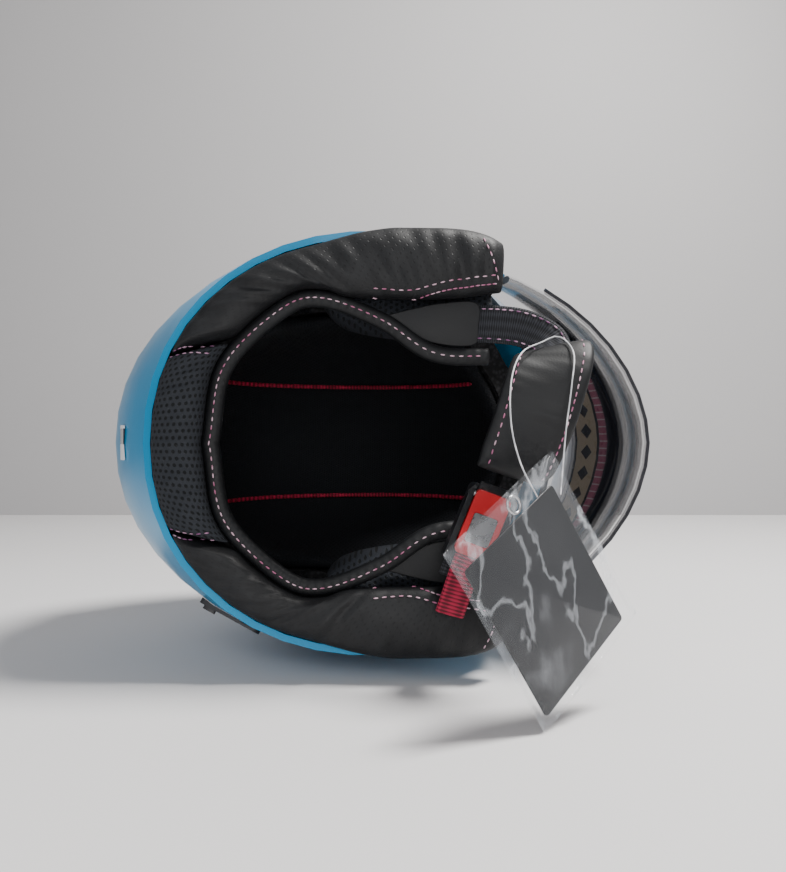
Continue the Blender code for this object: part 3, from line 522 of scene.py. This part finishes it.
def foam():
    made = Finish("bead_foam", (0.018, 0.018, 0.020), 0.85)
    coords, _ = made.place()
    beads = made.node("ShaderNodeTexVoronoi", "Distance", None, Vector=coords, Scale=330.0)
    made.set("Base Color", made.tint(beads.soft(0.1, 0.7), (0.030, 0.030, 0.033), (0.008, 0.008, 0.009)))
    made.bump(beads, 0.6, 0.0008)
    return made


def sweep_angle(made):
    """Degrees about the visor's hinge, and metres across the helmet."""
    _, (x, y, z) = made.place()
    angle = made.node("ShaderNodeMath", 0, {"operation": "ARCTAN2"})
    made.tree.links.new((y - HINGE.y).socket, angle.socket.node.inputs[0])
    made.tree.links.new((x - HINGE.x).socket, angle.socket.node.inputs[1])
    return angle * (180 / math.pi), z - HINGE.z


def clear_lens():
    """Clear moulded visor: smoked above, nearly clear at the lower edge, with a fine haze, and a painted pale
    glare band beside the printed strip.
    """
    made = Finish("visor_polycarbonate", (0.075, 0.080, 0.095), 0.05)
    angle, _ = sweep_angle(made)
    coords, _ = made.place()
    haze = made.noise(coords, 22.0)
    smoke = angle.soft(-37.0, -33.0) * (1.0 - angle.soft(-14.0, -11.0))
    # painted glare: the pale band is an opaque near-white tone that stands in for the bright room showing in
    # the clear lens
    pale = angle.soft(3.6, 4.8) * angle.soft(12.0, 11.0)
    tone = made.tint(smoke, (0.10, 0.105, 0.125), (0.030, 0.031, 0.040))
    made.set("Base Color", made.tint(pale, tone, (0.78, 0.76, 0.77)))
    made.set("Alpha", smoke * 0.70 + 0.08 + pale * 0.5 + haze * 0.05)
    made.set("Roughness", haze * 0.06 + 0.03)
    made.set("IOR", 1.58)
    made.set("Coat Weight", 0.2)
    made.set("Coat Roughness", 0.02)
    return made


def printed_strip():
    """Band print: a sandy stripe with dark lozenges, and a rose stripe beside it."""
    made = Finish("strip_print", (0.05, 0.05, 0.06), 0.3)
    angle, across = sweep_angle(made)
    coords, _ = made.place()
    worn = made.noise(coords, 300.0)
    along = across * (1 / 0.015)
    lozenge = (along.fract() - 0.5).abs() * 1.5 + ((angle + 0.8) * (1 / 4.6)).abs()
    sand = made.tint(lozenge.below(0.55), (0.46, 0.37, 0.27), (0.030, 0.026, 0.032))
    rose_zone = angle.below(-5.6)
    rose = made.tint((along * 3.0).fract().below(0.18), (0.42, 0.13, 0.20), (0.62, 0.45, 0.47))
    gap = ((angle + 6.0) * (1 / 0.55)).abs().below(1.0)
    print_tone = made.tint(gap, made.tint(rose_zone, sand, rose), (0.020, 0.020, 0.026))
    edge = angle.above(3.6) + angle.below(-10.4)
    made.set("Base Color", made.tint(edge, print_tone, (0.028, 0.028, 0.036)))
    made.set("Roughness", worn * 0.2 + 0.2)
    made.set("Coat Weight", 0.7)
    made.set("Alpha", worn * 0.10 + 0.86)
    return made


def rim_lines():
    """Lower edge of the visor: a fine painted highlight line and a dark plum line that run with it."""
    made = Finish("visor_edge", (0.35, 0.35, 0.37), 0.12)
    angle, _ = sweep_angle(made)
    coords, _ = made.place()
    wobble = made.noise(coords, 45.0) * 0.25
    height = angle + wobble
    # painted highlight: the near-white light line stands in for the glint of light along the visor's edge
    light = ((height + 36.5) * (1 / 0.45)).abs().below(1.0)
    plum = ((height + 35.2) * (1 / 0.45)).abs().below(1.0)
    tone = made.tint(light, (0.035, 0.036, 0.045), (0.72, 0.71, 0.73))
    made.set("Base Color", made.tint(plum, tone, (0.060, 0.012, 0.035)))
    made.set("Coat Weight", 0.2)
    made.set("Alpha", light * 0.1 + plum * 0.1 + 0.85)
    made.set("Roughness", wobble * 0.4 + 0.06)
    return made


def label_print():
    """Pale label with a block of dark bars on one half."""
    made = Finish("label_bars", (0.72, 0.72, 0.72), 0.38)
    coords, (_, y, z) = made.place()
    across = z - HINGE.z
    bars = (y * (1 / 0.0021)).fract().below(0.5)
    dark = bars * across.above(-0.001) * across.below(0.0085)
    made.set("Base Color", made.tint(dark, (0.72, 0.72, 0.73), (0.03, 0.03, 0.04)))
    made.set("Roughness", made.noise(coords, 200.0) * 0.15 + 0.3)
    return made


def film():
    """Thin clear film with soft wrinkles, and painted highlights: its pale colour is made more opaque along
    the folds and wrinkle crests.
    """
    made = Finish("pouch_film_clear", (0.80, 0.84, 0.90), 0.08)
    coords, _ = made.place()
    stretched = made.node("ShaderNodeMapping", 0, None, Vector=coords, Rotation=(0.4, 0.9, 0.5),
                          Scale=(46.0, 9.0, 22.0))
    wrinkle = made.noise(stretched, 1.0, 4.0)
    # painted highlight: the fold and crest masks raise the alpha of the pale film colour, giving white glints
    # along the wrinkles
    fold = 1.0 - (wrinkle - 0.5).abs() * 26.0
    made.set("Alpha", fold.soft(0.2, 1.0) * 0.10 + wrinkle.soft(0.6, 0.8) * 0.10 + 0.025)
    made.set("Roughness", wrinkle * 0.12 + 0.03)
    made.set("Coat Weight", 1.0)
    made.bump(wrinkle, 0.5, 0.003)
    return made


PAINT = paint()
RUBBER = soft_black("edge_rubber", (0.012, 0.020, 0.030), 0.5, 900.0, 0.0002)
PLASTIC = soft_black("black_plastic_grain", (0.014, 0.014, 0.016), 0.34, 1100.0, 0.00015)
BUCKLE_BLACK = soft_black("buckle_black_nylon", (0.010, 0.011, 0.013), 0.30, 700.0, 0.0002)
LEATHER = leatherette("pierced_leatherette", True)
BINDING = leatherette("binding_leatherette", False, (0.0050, 0.0055, 0.0065))
COVER_LEATHER = leatherette("strap_cover_leatherette", False, (0.0040, 0.0045, 0.0055))
SPACER = open_mesh("spacer_mesh", 0.0036, (0.013, 0.015, 0.019))
CHEEK_MESH = open_mesh("cheek_mesh", 0.0032, (0.0100, 0.0120, 0.0165), "Object")
LINING = open_mesh("lining_knit", 0.0018, (0.004, 0.005, 0.007), "Object")
PINK = thread("rose_thread", (0.42, 0.13, 0.24), (0.62, 0.42, 0.50))
PURPLE = thread("plum_thread", (0.20, 0.07, 0.17), (0.50, 0.30, 0.42))
WEBBING = weave("black_webbing", (0.006, 0.0065, 0.008), (0.030, 0.032, 0.040))
RED_BAND = weave("red_webbing", (0.085, 0.003, 0.012), (0.40, 0.012, 0.050), 0.0022)
RED_CORD = weave("red_piping", (0.12, 0.003, 0.014), (0.50, 0.016, 0.060), 0.0024, "Object")
RED_METAL = soft_black("red_lacquered_lever", (0.42, 0.018, 0.022), 0.26, 500.0, 0.0001)
STEEL = metal("brushed_steel", (0.56, 0.56, 0.58), 0.26)
DARK_STEEL = metal("blackened_steel", (0.045, 0.045, 0.050), 0.45)
FOAM = foam()
LENS = clear_lens()
STRIP = printed_strip()
EDGE = rim_lines()
LABEL = label_print()
FILM = film()
CARD = soft_black("card_stock", (0.0035, 0.0035, 0.004), 0.30, 60.0, 0.00001)
SMOKE = Finish("sun_lens_smoke", (0.020, 0.021, 0.026), 0.06)
NYLON = thread("nylon_thread", (0.45, 0.46, 0.48), (0.72, 0.72, 0.74))


def hard_pieces():
    """Smooth looks of the moulded parts."""
    looks = {
        PAINT: ("outer_shell",),
        RUBBER: ("face_edge_trim",),
        PLASTIC: ("pivot_base_left", "pivot_base_right", "pivot_cover_left", "pivot_cover_right", "rear_vent",
                  "top_vent_base", "top_vent_slider", "slider_plate", "sun_slider"),
        BUCKLE_BLACK: ("buckle_body", "ratchet_strap"),
        RED_METAL: ("buckle_lever",),
        STEEL: ("buckle_plate", "buckle_pin", "pivot_screw_left", "pivot_screw_right"),
        DARK_STEEL: ("strap_anchor_left", "strap_anchor_right", "anchor_rivet_left", "anchor_rivet_right"),
        FOAM: ("eps_liner", "eps_cheek_left", "eps_cheek_right"),
        LENS: ("visor",),
        STRIP: ("visor_strip",),
        EDGE: ("visor_rim",),
        SMOKE: ("sun_visor",),
        LABEL: ("rear_label",),
    }
    for finish, nodes in looks.items():
        for node in nodes:
            smoothed(node, finish)


# ---------------------------------------------------------------- neck roll

SQUARE = 2 / 2.1


def rim_edge(theta, inset=0.0048):
    """Place (f, r) just inside the shell's neck rim."""
    c, s = math.cos(theta), math.sin(theta)
    along = (RIM_FRONT if c > 0 else RIM_REAR) - inset
    return Vector((SHELL_CENTRE_F + signed_power(c, SQUARE) * along,
                   signed_power(s, SQUARE) * (RIM_HALF_WIDTH - inset), 0))


OPENING = [(-0.109, 0), (-0.100, 0.046), (-0.066, 0.080), (-0.040, 0.087), (-0.004, 0.074),
           (0.024, 0.056), (0.055, 0.054)]
OUTLINE = flat_path(OPENING, 60)
FLAP = smooth_path(OUTLINE[17:38:4] + [Vector((0.028, 0.081, 0)), Vector((FACE_EDGE_F - 0.004, 0.085, 0))],
                   40)
BACK_HALF = math.radians(24)
ROLL_SWELL, ROLL_TOP = 0.0120, 0.0085


def flip(p, side):
    return Vector((p.x, p.y * side, p.z))


def ease(value, low, high):
    """Smooth step from 0 at low to 1 at high."""
    share = max(0.0, min(1.0, (value - low) / (high - low)))
    return share * share * (3 - 2 * share)


def roll_place(first, last, inner, side, seed):
    """Padded section between the shell's rim and the head opening, with soft creases."""
    def place(s, t):
        over = ease(s, 0.50, 0.78) if last < math.pi else 0.0
        corner = ease(s, 0.74, 0.97) if last < math.pi else 0.0
        outer = rim_edge(first + (last - first) * s, 0.0048 - 0.0080 * over - 0.0090 * corner)
        near = walk(inner, s)
        turn = 2 * math.pi * (t % 1.0)
        share = (1 - math.cos(turn)) / 2
        flat = flip(outer.lerp(near, share * 0.985 + 0.0075), side)
        rise = math.sin(turn)
        crease = noise.noise(Vector((s * 26 + seed, share * 1.7, seed)))
        dent = noise.noise(Vector((s * 9 - seed, share * 3.0, 4.0)))
        ends = min(1.0, min(s, 1 - s) * 18 + 0.35)
        if rise > 0:
            height = -abs(rise) ** 0.72 * (ROLL_SWELL + 0.0022 * crease + 0.0016 * dent) * ends
        else:
            height = abs(rise) ** 0.6 * ROLL_TOP * (1 - over * (1 - share)) - 0.0012 * over * (1 - share)
        return at(flat.x, flat.y, height)
    return place


def make_roll():
    back_inner = [flip(p, 1) for p in reversed(OUTLINE[:17])] + [flip(p, -1) for p in OUTLINE[1:17]]
    pads = []
    back = roll_place(math.pi - BACK_HALF, math.pi + BACK_HALF, back_inner, 1, 2.0)
    pads.append(tube("back_roll_pad", 44, 22, back, SPACER, (0.110, 0.090), levels=1,
                     stands_for=("neck_roll_back",)))
    for side, word in ((1, "right"), (-1, "left")):
        place = roll_place(math.pi - BACK_HALF - 0.006, math.radians(57), FLAP, side, 5.0 + side)
        pads.append(tube("side_roll_pad_" + word, 96, 24, place, LEATHER, (0.235, 0.085), levels=1,
                         stands_for=("neck_roll_" + word,)))
    return pads


def make_binding():
    """Leather fold round the head opening."""
    half = flat_path(OPENING, 50)
    right = []
    for i, p in enumerate(half):
        tangent = (half[min(i + 1, 49)] - half[max(i - 1, 0)]).normalized()
        if i == 0:
            tangent = Vector((0, 1, 0))
        right.append(p + Vector((tangent.y, -tangent.x, 0)) * 0.0050)
    path = [flip(p, -1) for p in reversed(right[1:])] + right

    def place(s, t):
        here, after = walk(path, s), walk(path, s + 0.004)
        before = walk(path, s - 0.004)
        tangent = (after - before).normalized()
        inward = Vector((tangent.y, -tangent.x, 0))
        turn = 2 * math.pi * (t % 1.0)
        pucker = 1 + 0.10 * math.sin(s * 520)
        spot = here + inward * (math.cos(turn) * 0.0052)
        return at(spot.x, spot.y, 0.0022 - signed_power(math.sin(turn), 0.8) * 0.0046 * pucker)

    band = tube("head_opening_binding", 260, 12, place, BINDING, (path_length(path), 0.03), levels=1,
                stands_for=("opening_binding",))
    return band, path


def make_apron(word, side):
    """Leather panel in the corner between the binding and the flap."""
    outline = [(-0.004, 0.0730), (0.006, 0.0660), (0.022, 0.0570), (0.046, 0.0555), (0.049, 0.0660),
               (0.048, 0.0800), (0.028, 0.0800), (0.012, 0.0770)]
    ring = flat_path(outline + outline[:1], 41)[:-1]
    bm = bmesh.new()
    face = bm.faces.new([bm.verts.new(at(p.x, p.y * side, 0.0048)) for p in ring])
    made = bmesh.ops.extrude_face_region(bm, geom=[face])
    moved = [v for v in made["geom"] if isinstance(v, bmesh.types.BMVert)]
    bmesh.ops.translate(bm, verts=moved, vec=(0, -0.0026, 0))
    rims = [e for e in bm.edges if abs(e.verts[0].co.y - e.verts[1].co.y) < 1e-7]
    bmesh.ops.bevel(bm, geom=rims, offset=0.0009, segments=3, profile=0.5, affect="EDGES", material=-1)
    return add_piece("cheek_apron_" + word, bm, BINDING)


def seam(name, trees, points, finish, side, count):
    """A row of stitches dropped on the roll from below."""
    path = [flip(p, side) for p in flat_path(points, count)]
    thread_row(name, seen_from_below(trees, path), STITCH_PITCH, finish)


# ---------------------------------------------------------------- linings

def inflated(node, name, finish, voxel=0.0045, pressure=4.0, reach=0.008):
    """Soft pad from a CAD solid: an even skin blown up a little as cloth."""
    bm, _ = merged_copy(node)
    centre = sum((v.co for v in bm.verts), Vector()) / len(bm.verts)
    inward = (Matrix.Translation(centre) @ Matrix.Diagonal((0.975, 0.975, 0.94, 1))
              @ Matrix.Translation(-centre))
    bmesh.ops.transform(bm, matrix=inward, verts=bm.verts)
    pad = add_piece(name, bm, finish, BODY, 0, (node,))
    remesh = pad.modifiers.new("Remesh", "REMESH")
    remesh.mode, remesh.voxel_size = "VOXEL", voxel
    apply_all(pad)
    start = [v.co.copy() for v in pad.data.vertices]
    cloth = pad.modifiers.new("Cloth", "CLOTH")
    cloth.settings.use_pressure = True
    cloth.settings.uniform_pressure_force = pressure
    cloth.settings.effector_weights.gravity = 0
    cloth.settings.tension_stiffness = cloth.settings.compression_stiffness = 20
    cloth.point_cache.frame_start, cloth.point_cache.frame_end = 1, 20
    for step in range(1, 21):
        bpy.context.scene.frame_set(step)
    apply_all(pad)
    bpy.context.scene.frame_set(1)
    for v, before in zip(pad.data.vertices, start):
        moved = v.co - before
        if moved.length > reach:
            v.co = before + moved.normalized() * reach
    for face in pad.data.polygons:
        face.use_smooth = True
    subsurf = pad.modifiers.new("Subsurf", "SUBSURF")
    subsurf.levels = subsurf.render_levels = 1
    return pad


def apply_all(obj):
    """Keeps the mesh as its modifiers show it."""
    graph = bpy.context.evaluated_depsgraph_get()
    made = bpy.data.meshes.new_from_object(obj.evaluated_get(graph))
    obj.modifiers.clear()
    obj.data = made


def smoothed_soft(node, finish, levels):
    """Rounded look of a soft CAD solid."""
    bm, body = merged_copy(node)
    bmesh.ops.join_triangles(bm, faces=bm.faces, angle_face_threshold=0.8, angle_shape_threshold=1.2)
    return add_piece(node + "_cloth", bm, finish, body, levels, (node,))


# ---------------------------------------------------------------- chin strap and buckle

def buckle_frame():
    """Local x from the chin to the left cheek, y across the strap, z away from the head."""
    x_axis = Vector((-0.36, 0.10, -0.92)).normalized()
    z_axis = Vector((0.05, -1.0, -0.10))
    z_axis = (z_axis - x_axis * z_axis.dot(x_axis)).normalized()
    y_axis = z_axis.cross(x_axis)
    matrix = Matrix((x_axis, y_axis, z_axis)).transposed().to_4x4()
    matrix.translation = at(0.0465, -0.0455, -0.0245)
    return matrix


BUCKLE = buckle_frame()
BUCKLE_LENGTH, BUCKLE_DEPTH, LEVER_LENGTH = 0.044, 0.009, 0.036
STRAP_ACROSS = BUCKLE.to_3x3() @ Vector((0, 1, 0))


def make_right_web():
    """Webbing from the right cheek into the padded cover, with two seams."""
    first, second = Vector((0.2, 0, 1)), Vector((1, 0, 0.25))
    points = smooth_path([at(0.0400, 0.0685, 0.0080), at(0.056, 0.0675, 0.0010), at(0.072, 0.0650, -0.0030),
                          at(0.084, 0.0590, -0.0075), at(0.0866, 0.0535, -0.0135),
                          at(0.0864, 0.0490, -0.0205)], 40)
    right = Ribbon(points, lambda s: first.lerp(second, s * s), 0.022, 0.0022)
    right.build("strap_web_right", WEBBING, 60, levels=1, stands_for=("strap_right",))
    for word, a in (("a", -0.0085), ("b", 0.0085)):
        thread_row("strap_right_seam_" + word, right.row(a, 0.0013, 0.05, 0.9), 0.0042, PURPLE)


def make_strap_cover():
    """Padded cover that crosses under the chin, stitched along its edges."""
    path = smooth_path([at(0.0868, 0.0520, -0.0145), at(0.086, 0.046, -0.0255), at(0.081, 0.033, -0.0335),
                        at(0.074, 0.012, -0.0365), at(0.067, -0.007, -0.0335),
                        at(0.062, -0.0175, -0.0285)], 60)
    pad = Ribbon(path, lambda s: Vector((1, 0, 0.25)), 0.043, 0.0088, 0.55)

    def puffed(s, t):
        turn = 2 * math.pi * (t % 1.0)
        ends = min(1.0, min(s, 1 - s) * 9 + 0.12) ** 0.5
        wrinkle = 1 + 0.16 * noise.noise(Vector((s * 17, math.cos(turn) * 2, 7.0)))
        a = signed_power(math.cos(turn), 0.55) * pad.width / 2 * (0.90 + 0.10 * ends)
        b = signed_power(math.sin(turn), 0.62) * pad.thickness / 2 * ends * wrinkle
        return pad.spot(s, a, b)

    cover = tube("strap_cover", 70, 24, puffed, COVER_LEATHER, (pad.length, 0.09), levels=1,
                 stands_for=("strap_pad",))
    trees = surface_of(cover)
    for word, a in (("rear", -0.0165), ("front", 0.0165)):
        for face in (-1, 1):
            spots = []
            for p, normal in pad.row(a, 0.012 * face, 0.05, 0.95, 80):
                hit = trees[0].ray_cast(p, -normal, 0.03)
                if hit[0] is not None:
                    spots.append((hit[0] + normal * 0.0002, normal))
            if len(spots) > 4:
                name = "strap_cover_seam_%s_%s" % (word, "out" if face > 0 else "in")
                thread_row(name, spots, STITCH_PITCH, PINK)


def make_left_web():
    """Webbing from the left cheek to the buckle."""
    side = BUCKLE @ Vector((BUCKLE_LENGTH / 2 + 0.0016, 0, -0.0033))
    along = BUCKLE.to_3x3() @ Vector((0.006, 0, 0))
    points = smooth_path([side, side + along, at(0.0370, -0.0740, -0.0095), at(0.0490, -0.0705, 0.0025)], 40)
    left = Ribbon(points, lambda s: STRAP_ACROSS.lerp(Vector((1, 0, -0.2)), s), 0.022, 0.0020)
    left.build("strap_web_left", WEBBING, 50, levels=1, stands_for=("strap_left",))


def make_pull_tab():
    """Ribbed red band on the end of the lever."""
    pin = Matrix.Translation((-BUCKLE_LENGTH / 2 + 0.005, 0, -0.0045 + BUCKLE_DEPTH - 0.0028))
    axis = BUCKLE @ pin
    end = axis @ Vector((LEVER_LENGTH - 0.0035 + 0.0006, 0, 0.0024))
    down = BUCKLE.to_3x3()
    steps = [(0, 0, 0), (0.010, 0, 0.0015), (0.022, 0.001, 0.0005), (0.034, 0.002, -0.0015)]
    points = smooth_path([end + down @ Vector(step) for step in steps], 24)
    tab = Ribbon(points, lambda s: STRAP_ACROSS, 0.016, 0.0020)
    tab.build("pull_tab_band", RED_BAND, 40, levels=1, body="lever", stands_for=("pull_tab",))


# ---------------------------------------------------------------- hang tag

POUCH_WIDTH, POUCH_HEIGHT, POUCH_DEPTH = 0.092, 0.100, 0.0026
CARD_WIDTH, CARD_HEIGHT = 0.074, 0.082


def tag_frame():
    """Local x along the pouch's mouth, y towards the mouth, z out of the face that shows."""
    top = at(0.0785, -0.0200, -0.0600)
    left = at(0.0315, -0.0565, -0.1040)
    right = at(0.1180, -0.0900, -0.0440)
    x_axis = (top - left).normalized()
    y_axis = top - right
    y_axis = (y_axis - x_axis * y_axis.dot(x_axis)).normalized()
    z_axis = x_axis.cross(y_axis)
    matrix = Matrix((x_axis, y_axis, z_axis)).transposed().to_4x4()
    matrix.translation = (left + right) / 2
    return matrix


THREAD_ROUTE = [(0.0720, -0.0270, -0.0600), (0.0640, -0.0100, -0.0560), (0.0600, 0.0100, -0.0500),
                (0.0610, 0.0330, -0.0440), (0.0680, 0.0480, -0.0330), (0.0800, 0.0545, -0.0230),
                (0.0900, 0.0580, -0.0205), (0.0950, 0.0480, -0.0345), (0.0920, 0.0300, -0.0440),
                (0.0880, 0.0080, -0.0500), (0.0850, -0.0120, -0.0560), (0.0830, -0.0250, -0.0605)]


def make_tag():
    """Open film pouch with a plain dark card in it."""
    local = tag_frame() @ Matrix.Translation((0.003, 0.004, 0))

    def skin(s, t):
        """Film that goes down the front, round the closed end and up the back."""
        turn = 2 * math.pi * (t % 1.0)
        a = signed_power(math.cos(turn), 0.25) * (POUCH_WIDTH / 2 - 0.0005)
        wave = noise.noise(Vector((a * 34, s * 3.6, 1.0))) * 0.0005
        mouth = 0.0012 * s * s
        b = signed_power(math.sin(turn), 0.9) * (POUCH_DEPTH / 2 + mouth) + wave
        return local @ Vector((a, (s - 0.5) * (POUCH_HEIGHT - 0.001), b))

    bm = bmesh.new()
    bm.loops.layers.uv.new("UVMap")
    bmesh.ops.create_grid(bm, x_segments=30, y_segments=64, size=0.5, calc_uvs=True)
    for vert in bm.verts:
        vert.co = skin(vert.co.x + 0.5, vert.co.y + 0.5)
    bmesh.ops.remove_doubles(bm, verts=bm.verts, dist=MERGE)
    closed = [e for e in bm.edges if e.is_boundary and (local.inverted() @ e.verts[0].co).y < 0]
    bmesh.ops.holes_fill(bm, edges=closed)
    pouch = add_piece("tag_film", bm, FILM, stands_for=("tag_pouch",))
    wall = pouch.modifiers.new("Solidify", "SOLIDIFY")
    wall.thickness = 0.00025
    for word, x in (("left", -1), ("right", 1)):
        weld = plate(0.0016, POUCH_HEIGHT - 0.004, 0.0005, -0.0011, -0.0003, 2)
        shift = Matrix.Translation((x * (POUCH_WIDTH / 2 - 0.0035), 0, 0))
        add_piece("tag_weld_" + word, placed(weld, local @ shift), FILM)
    card = plate(CARD_WIDTH, CARD_HEIGHT, 0.002, -0.0005, 0.0005, 4, 0.0002)
    add_piece("tag_card_stock", placed(card, tag_frame()), CARD, stands_for=("tag_card",))
    eyelet = bmesh.new()
    bmesh.ops.create_circle(eyelet, segments=6, radius=0.0007,
                            matrix=Matrix.Translation((0.0042, 0, 0)) @ Matrix.Rotation(math.pi / 2, 4, "X"))
    bmesh.ops.spin(eyelet, geom=eyelet.verts[:] + eyelet.edges[:], cent=(0, 0, 0), axis=(0, 0, 1),
                   angle=2 * math.pi, steps=24, use_merge=True)
    mouth = local @ Matrix.Translation((0.004, POUCH_HEIGHT / 2 - 0.006, 0.0016))
    add_piece("tag_eyelet", placed(eyelet, mouth), STEEL)


def make_thread_loop():
    """Loose nylon thread from the pouch up over the strap cover and back."""
    curve = bpy.data.curves.new("tag_thread_loop", "CURVE")
    curve.dimensions = "3D"
    curve.bevel_depth = THREAD_RADIUS
    curve.bevel_resolution = 3
    curve.use_fill_caps = True
    points = smooth_path([at(*p) for p in THREAD_ROUTE], 56)
    spline = curve.splines.new("POLY")
    spline.points.add(len(points) - 1)
    for point, co in zip(spline.points, points):
        point.co = (*co, 1.0)
    curve.materials.append(NYLON.mat)
    loop = bpy.data.objects.new("tag_thread_loop", curve)
    bpy.context.scene.collection.objects.link(loop)
    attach(loop, BODY)
    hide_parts("tag_thread")
    path_length(points)


# ---------------------------------------------------------------- seams of the roll

def make_seams(pads, band, band_path):
    """Stitches of the binding, the back panel, the flaps and their corners."""
    thread_row("binding_stitches", seen_from_below(surface_of(band), band_path), STITCH_PITCH, PINK)
    trees = surface_of(*pads)
    for side, word in ((1, "right"), (-1, "left")):
        for k, gap in enumerate((0.0, 0.0042)):
            back = [(-0.1285 + gap, 0.0475 + gap), (-0.115, 0.0500 + gap),
                    (-0.1015 + gap * 0.4, 0.0500 + gap)]
            seam("back_seam_%s_%d" % (word, k), trees, back, PURPLE, side, 30)
        for k, gap in enumerate((0.0, 0.0045)):
            flap = [(-0.012, 0.0820 + gap), (0.010, 0.0810 + gap), (0.030, 0.0855 + gap),
                    (0.058, 0.0890 + gap)]
            seam("flap_seam_%s_%d" % (word, k), trees, flap, PINK, side, 60)
        corner = [(0.0500, 0.1150), (0.0550, 0.1030), (0.0590, 0.0900)]
        seam("corner_seam_" + word, trees, corner, PINK, side, 24)


def build():
    hard_pieces()
    pads = make_roll()
    band, band_path = make_binding()
    make_seams(pads, band, band_path)
    for word, side in (("right", 1), ("left", -1)):
        make_apron(word, side)
    for word in ("right", "left"):
        inflated("cheek_pad_" + word, "cheek_cushion_" + word, CHEEK_MESH)
        smoothed_soft("liner_piping_" + word, RED_CORD, 1)
    smoothed_soft("crown_liner", LINING, 1)
    make_right_web()
    make_strap_cover()
    make_left_web()
    make_pull_tab()
    make_tag()
    make_thread_loop()


def make_camera():
    data = bpy.data.cameras.new("view")
    data.lens = 35.1
    data.clip_start = 0.01
    cam = bpy.data.objects.new("view", data)
    cam.location = (0.0153, -0.584, 0.1375)
    cam.rotation_euler = (math.radians(90), 0, 0)
    bpy.context.scene.collection.objects.link(cam)
    bpy.context.scene.camera = cam


def area_light(name, place, target, size, power, colour=(1.0, 1.0, 1.0)):
    data = bpy.data.lights.new(name, "AREA")
    data.shape, data.size, data.energy, data.color = "DISK", size, power, colour
    lamp = bpy.data.objects.new(name, data)
    lamp.location = place
    lamp.rotation_euler = (Vector(target) - Vector(place)).to_track_quat("-Z", "Y").to_euler()
    bpy.context.scene.collection.objects.link(lamp)


def backdrop(name, matrix, tone):
    """Plain sheet of the room, slightly uneven in tone."""
    bm = bmesh.new()
    bmesh.ops.create_grid(bm, x_segments=1, y_segments=1, size=1.0, matrix=matrix)
    mesh = bpy.data.meshes.new(name)
    bm.to_mesh(mesh)
    bm.free()
    obj = bpy.data.objects.new(name, mesh)
    bpy.context.scene.collection.objects.link(obj)
    made = Finish(name + "_paint", tone, 0.6)
    coords, _ = made.place()
    cloud = made.noise(coords, 3.0)
    made.set("Base Color", made.tint(cloud, tone, tuple(c * 1.05 for c in tone)))
    mesh.materials.append(made.mat)


def make_surroundings():
    """Pale table against a pale wall, and soft light from the upper right."""
    backdrop("pale_table", Matrix.Translation((0, -1.1, -0.0005)) @ Matrix.Diagonal((4.0, 2.0, 1, 1)),
             (0.62, 0.612, 0.616))
    backdrop("pale_wall", Matrix.Translation((0, 0.90, 1.2)) @ Matrix.Rotation(math.pi / 2, 4, "X")
             @ Matrix.Diagonal((4.0, 1.3, 1, 1)), (0.40, 0.395, 0.40))
    world = bpy.data.worlds.new("room")
    bpy.context.scene.world = world
    world.use_nodes = True
    world.node_tree.nodes["Background"].inputs["Color"].default_value = (0.36, 0.352, 0.356, 1)
    world.node_tree.nodes["Background"].inputs["Strength"].default_value = 1.0
    centre = (0.03, 0.05, 0.13)
    area_light("key", (0.60, -0.05, 1.32), centre, 0.40, 46, (1.0, 0.98, 0.95))
    area_light("fill", (-0.8, -0.9, 0.9), centre, 0.9, 3.5, (0.93, 0.96, 1.0))
    area_light("front", (0.15, -1.1, 0.35), centre, 0.6, 4)


make_camera()
build()
make_surroundings()
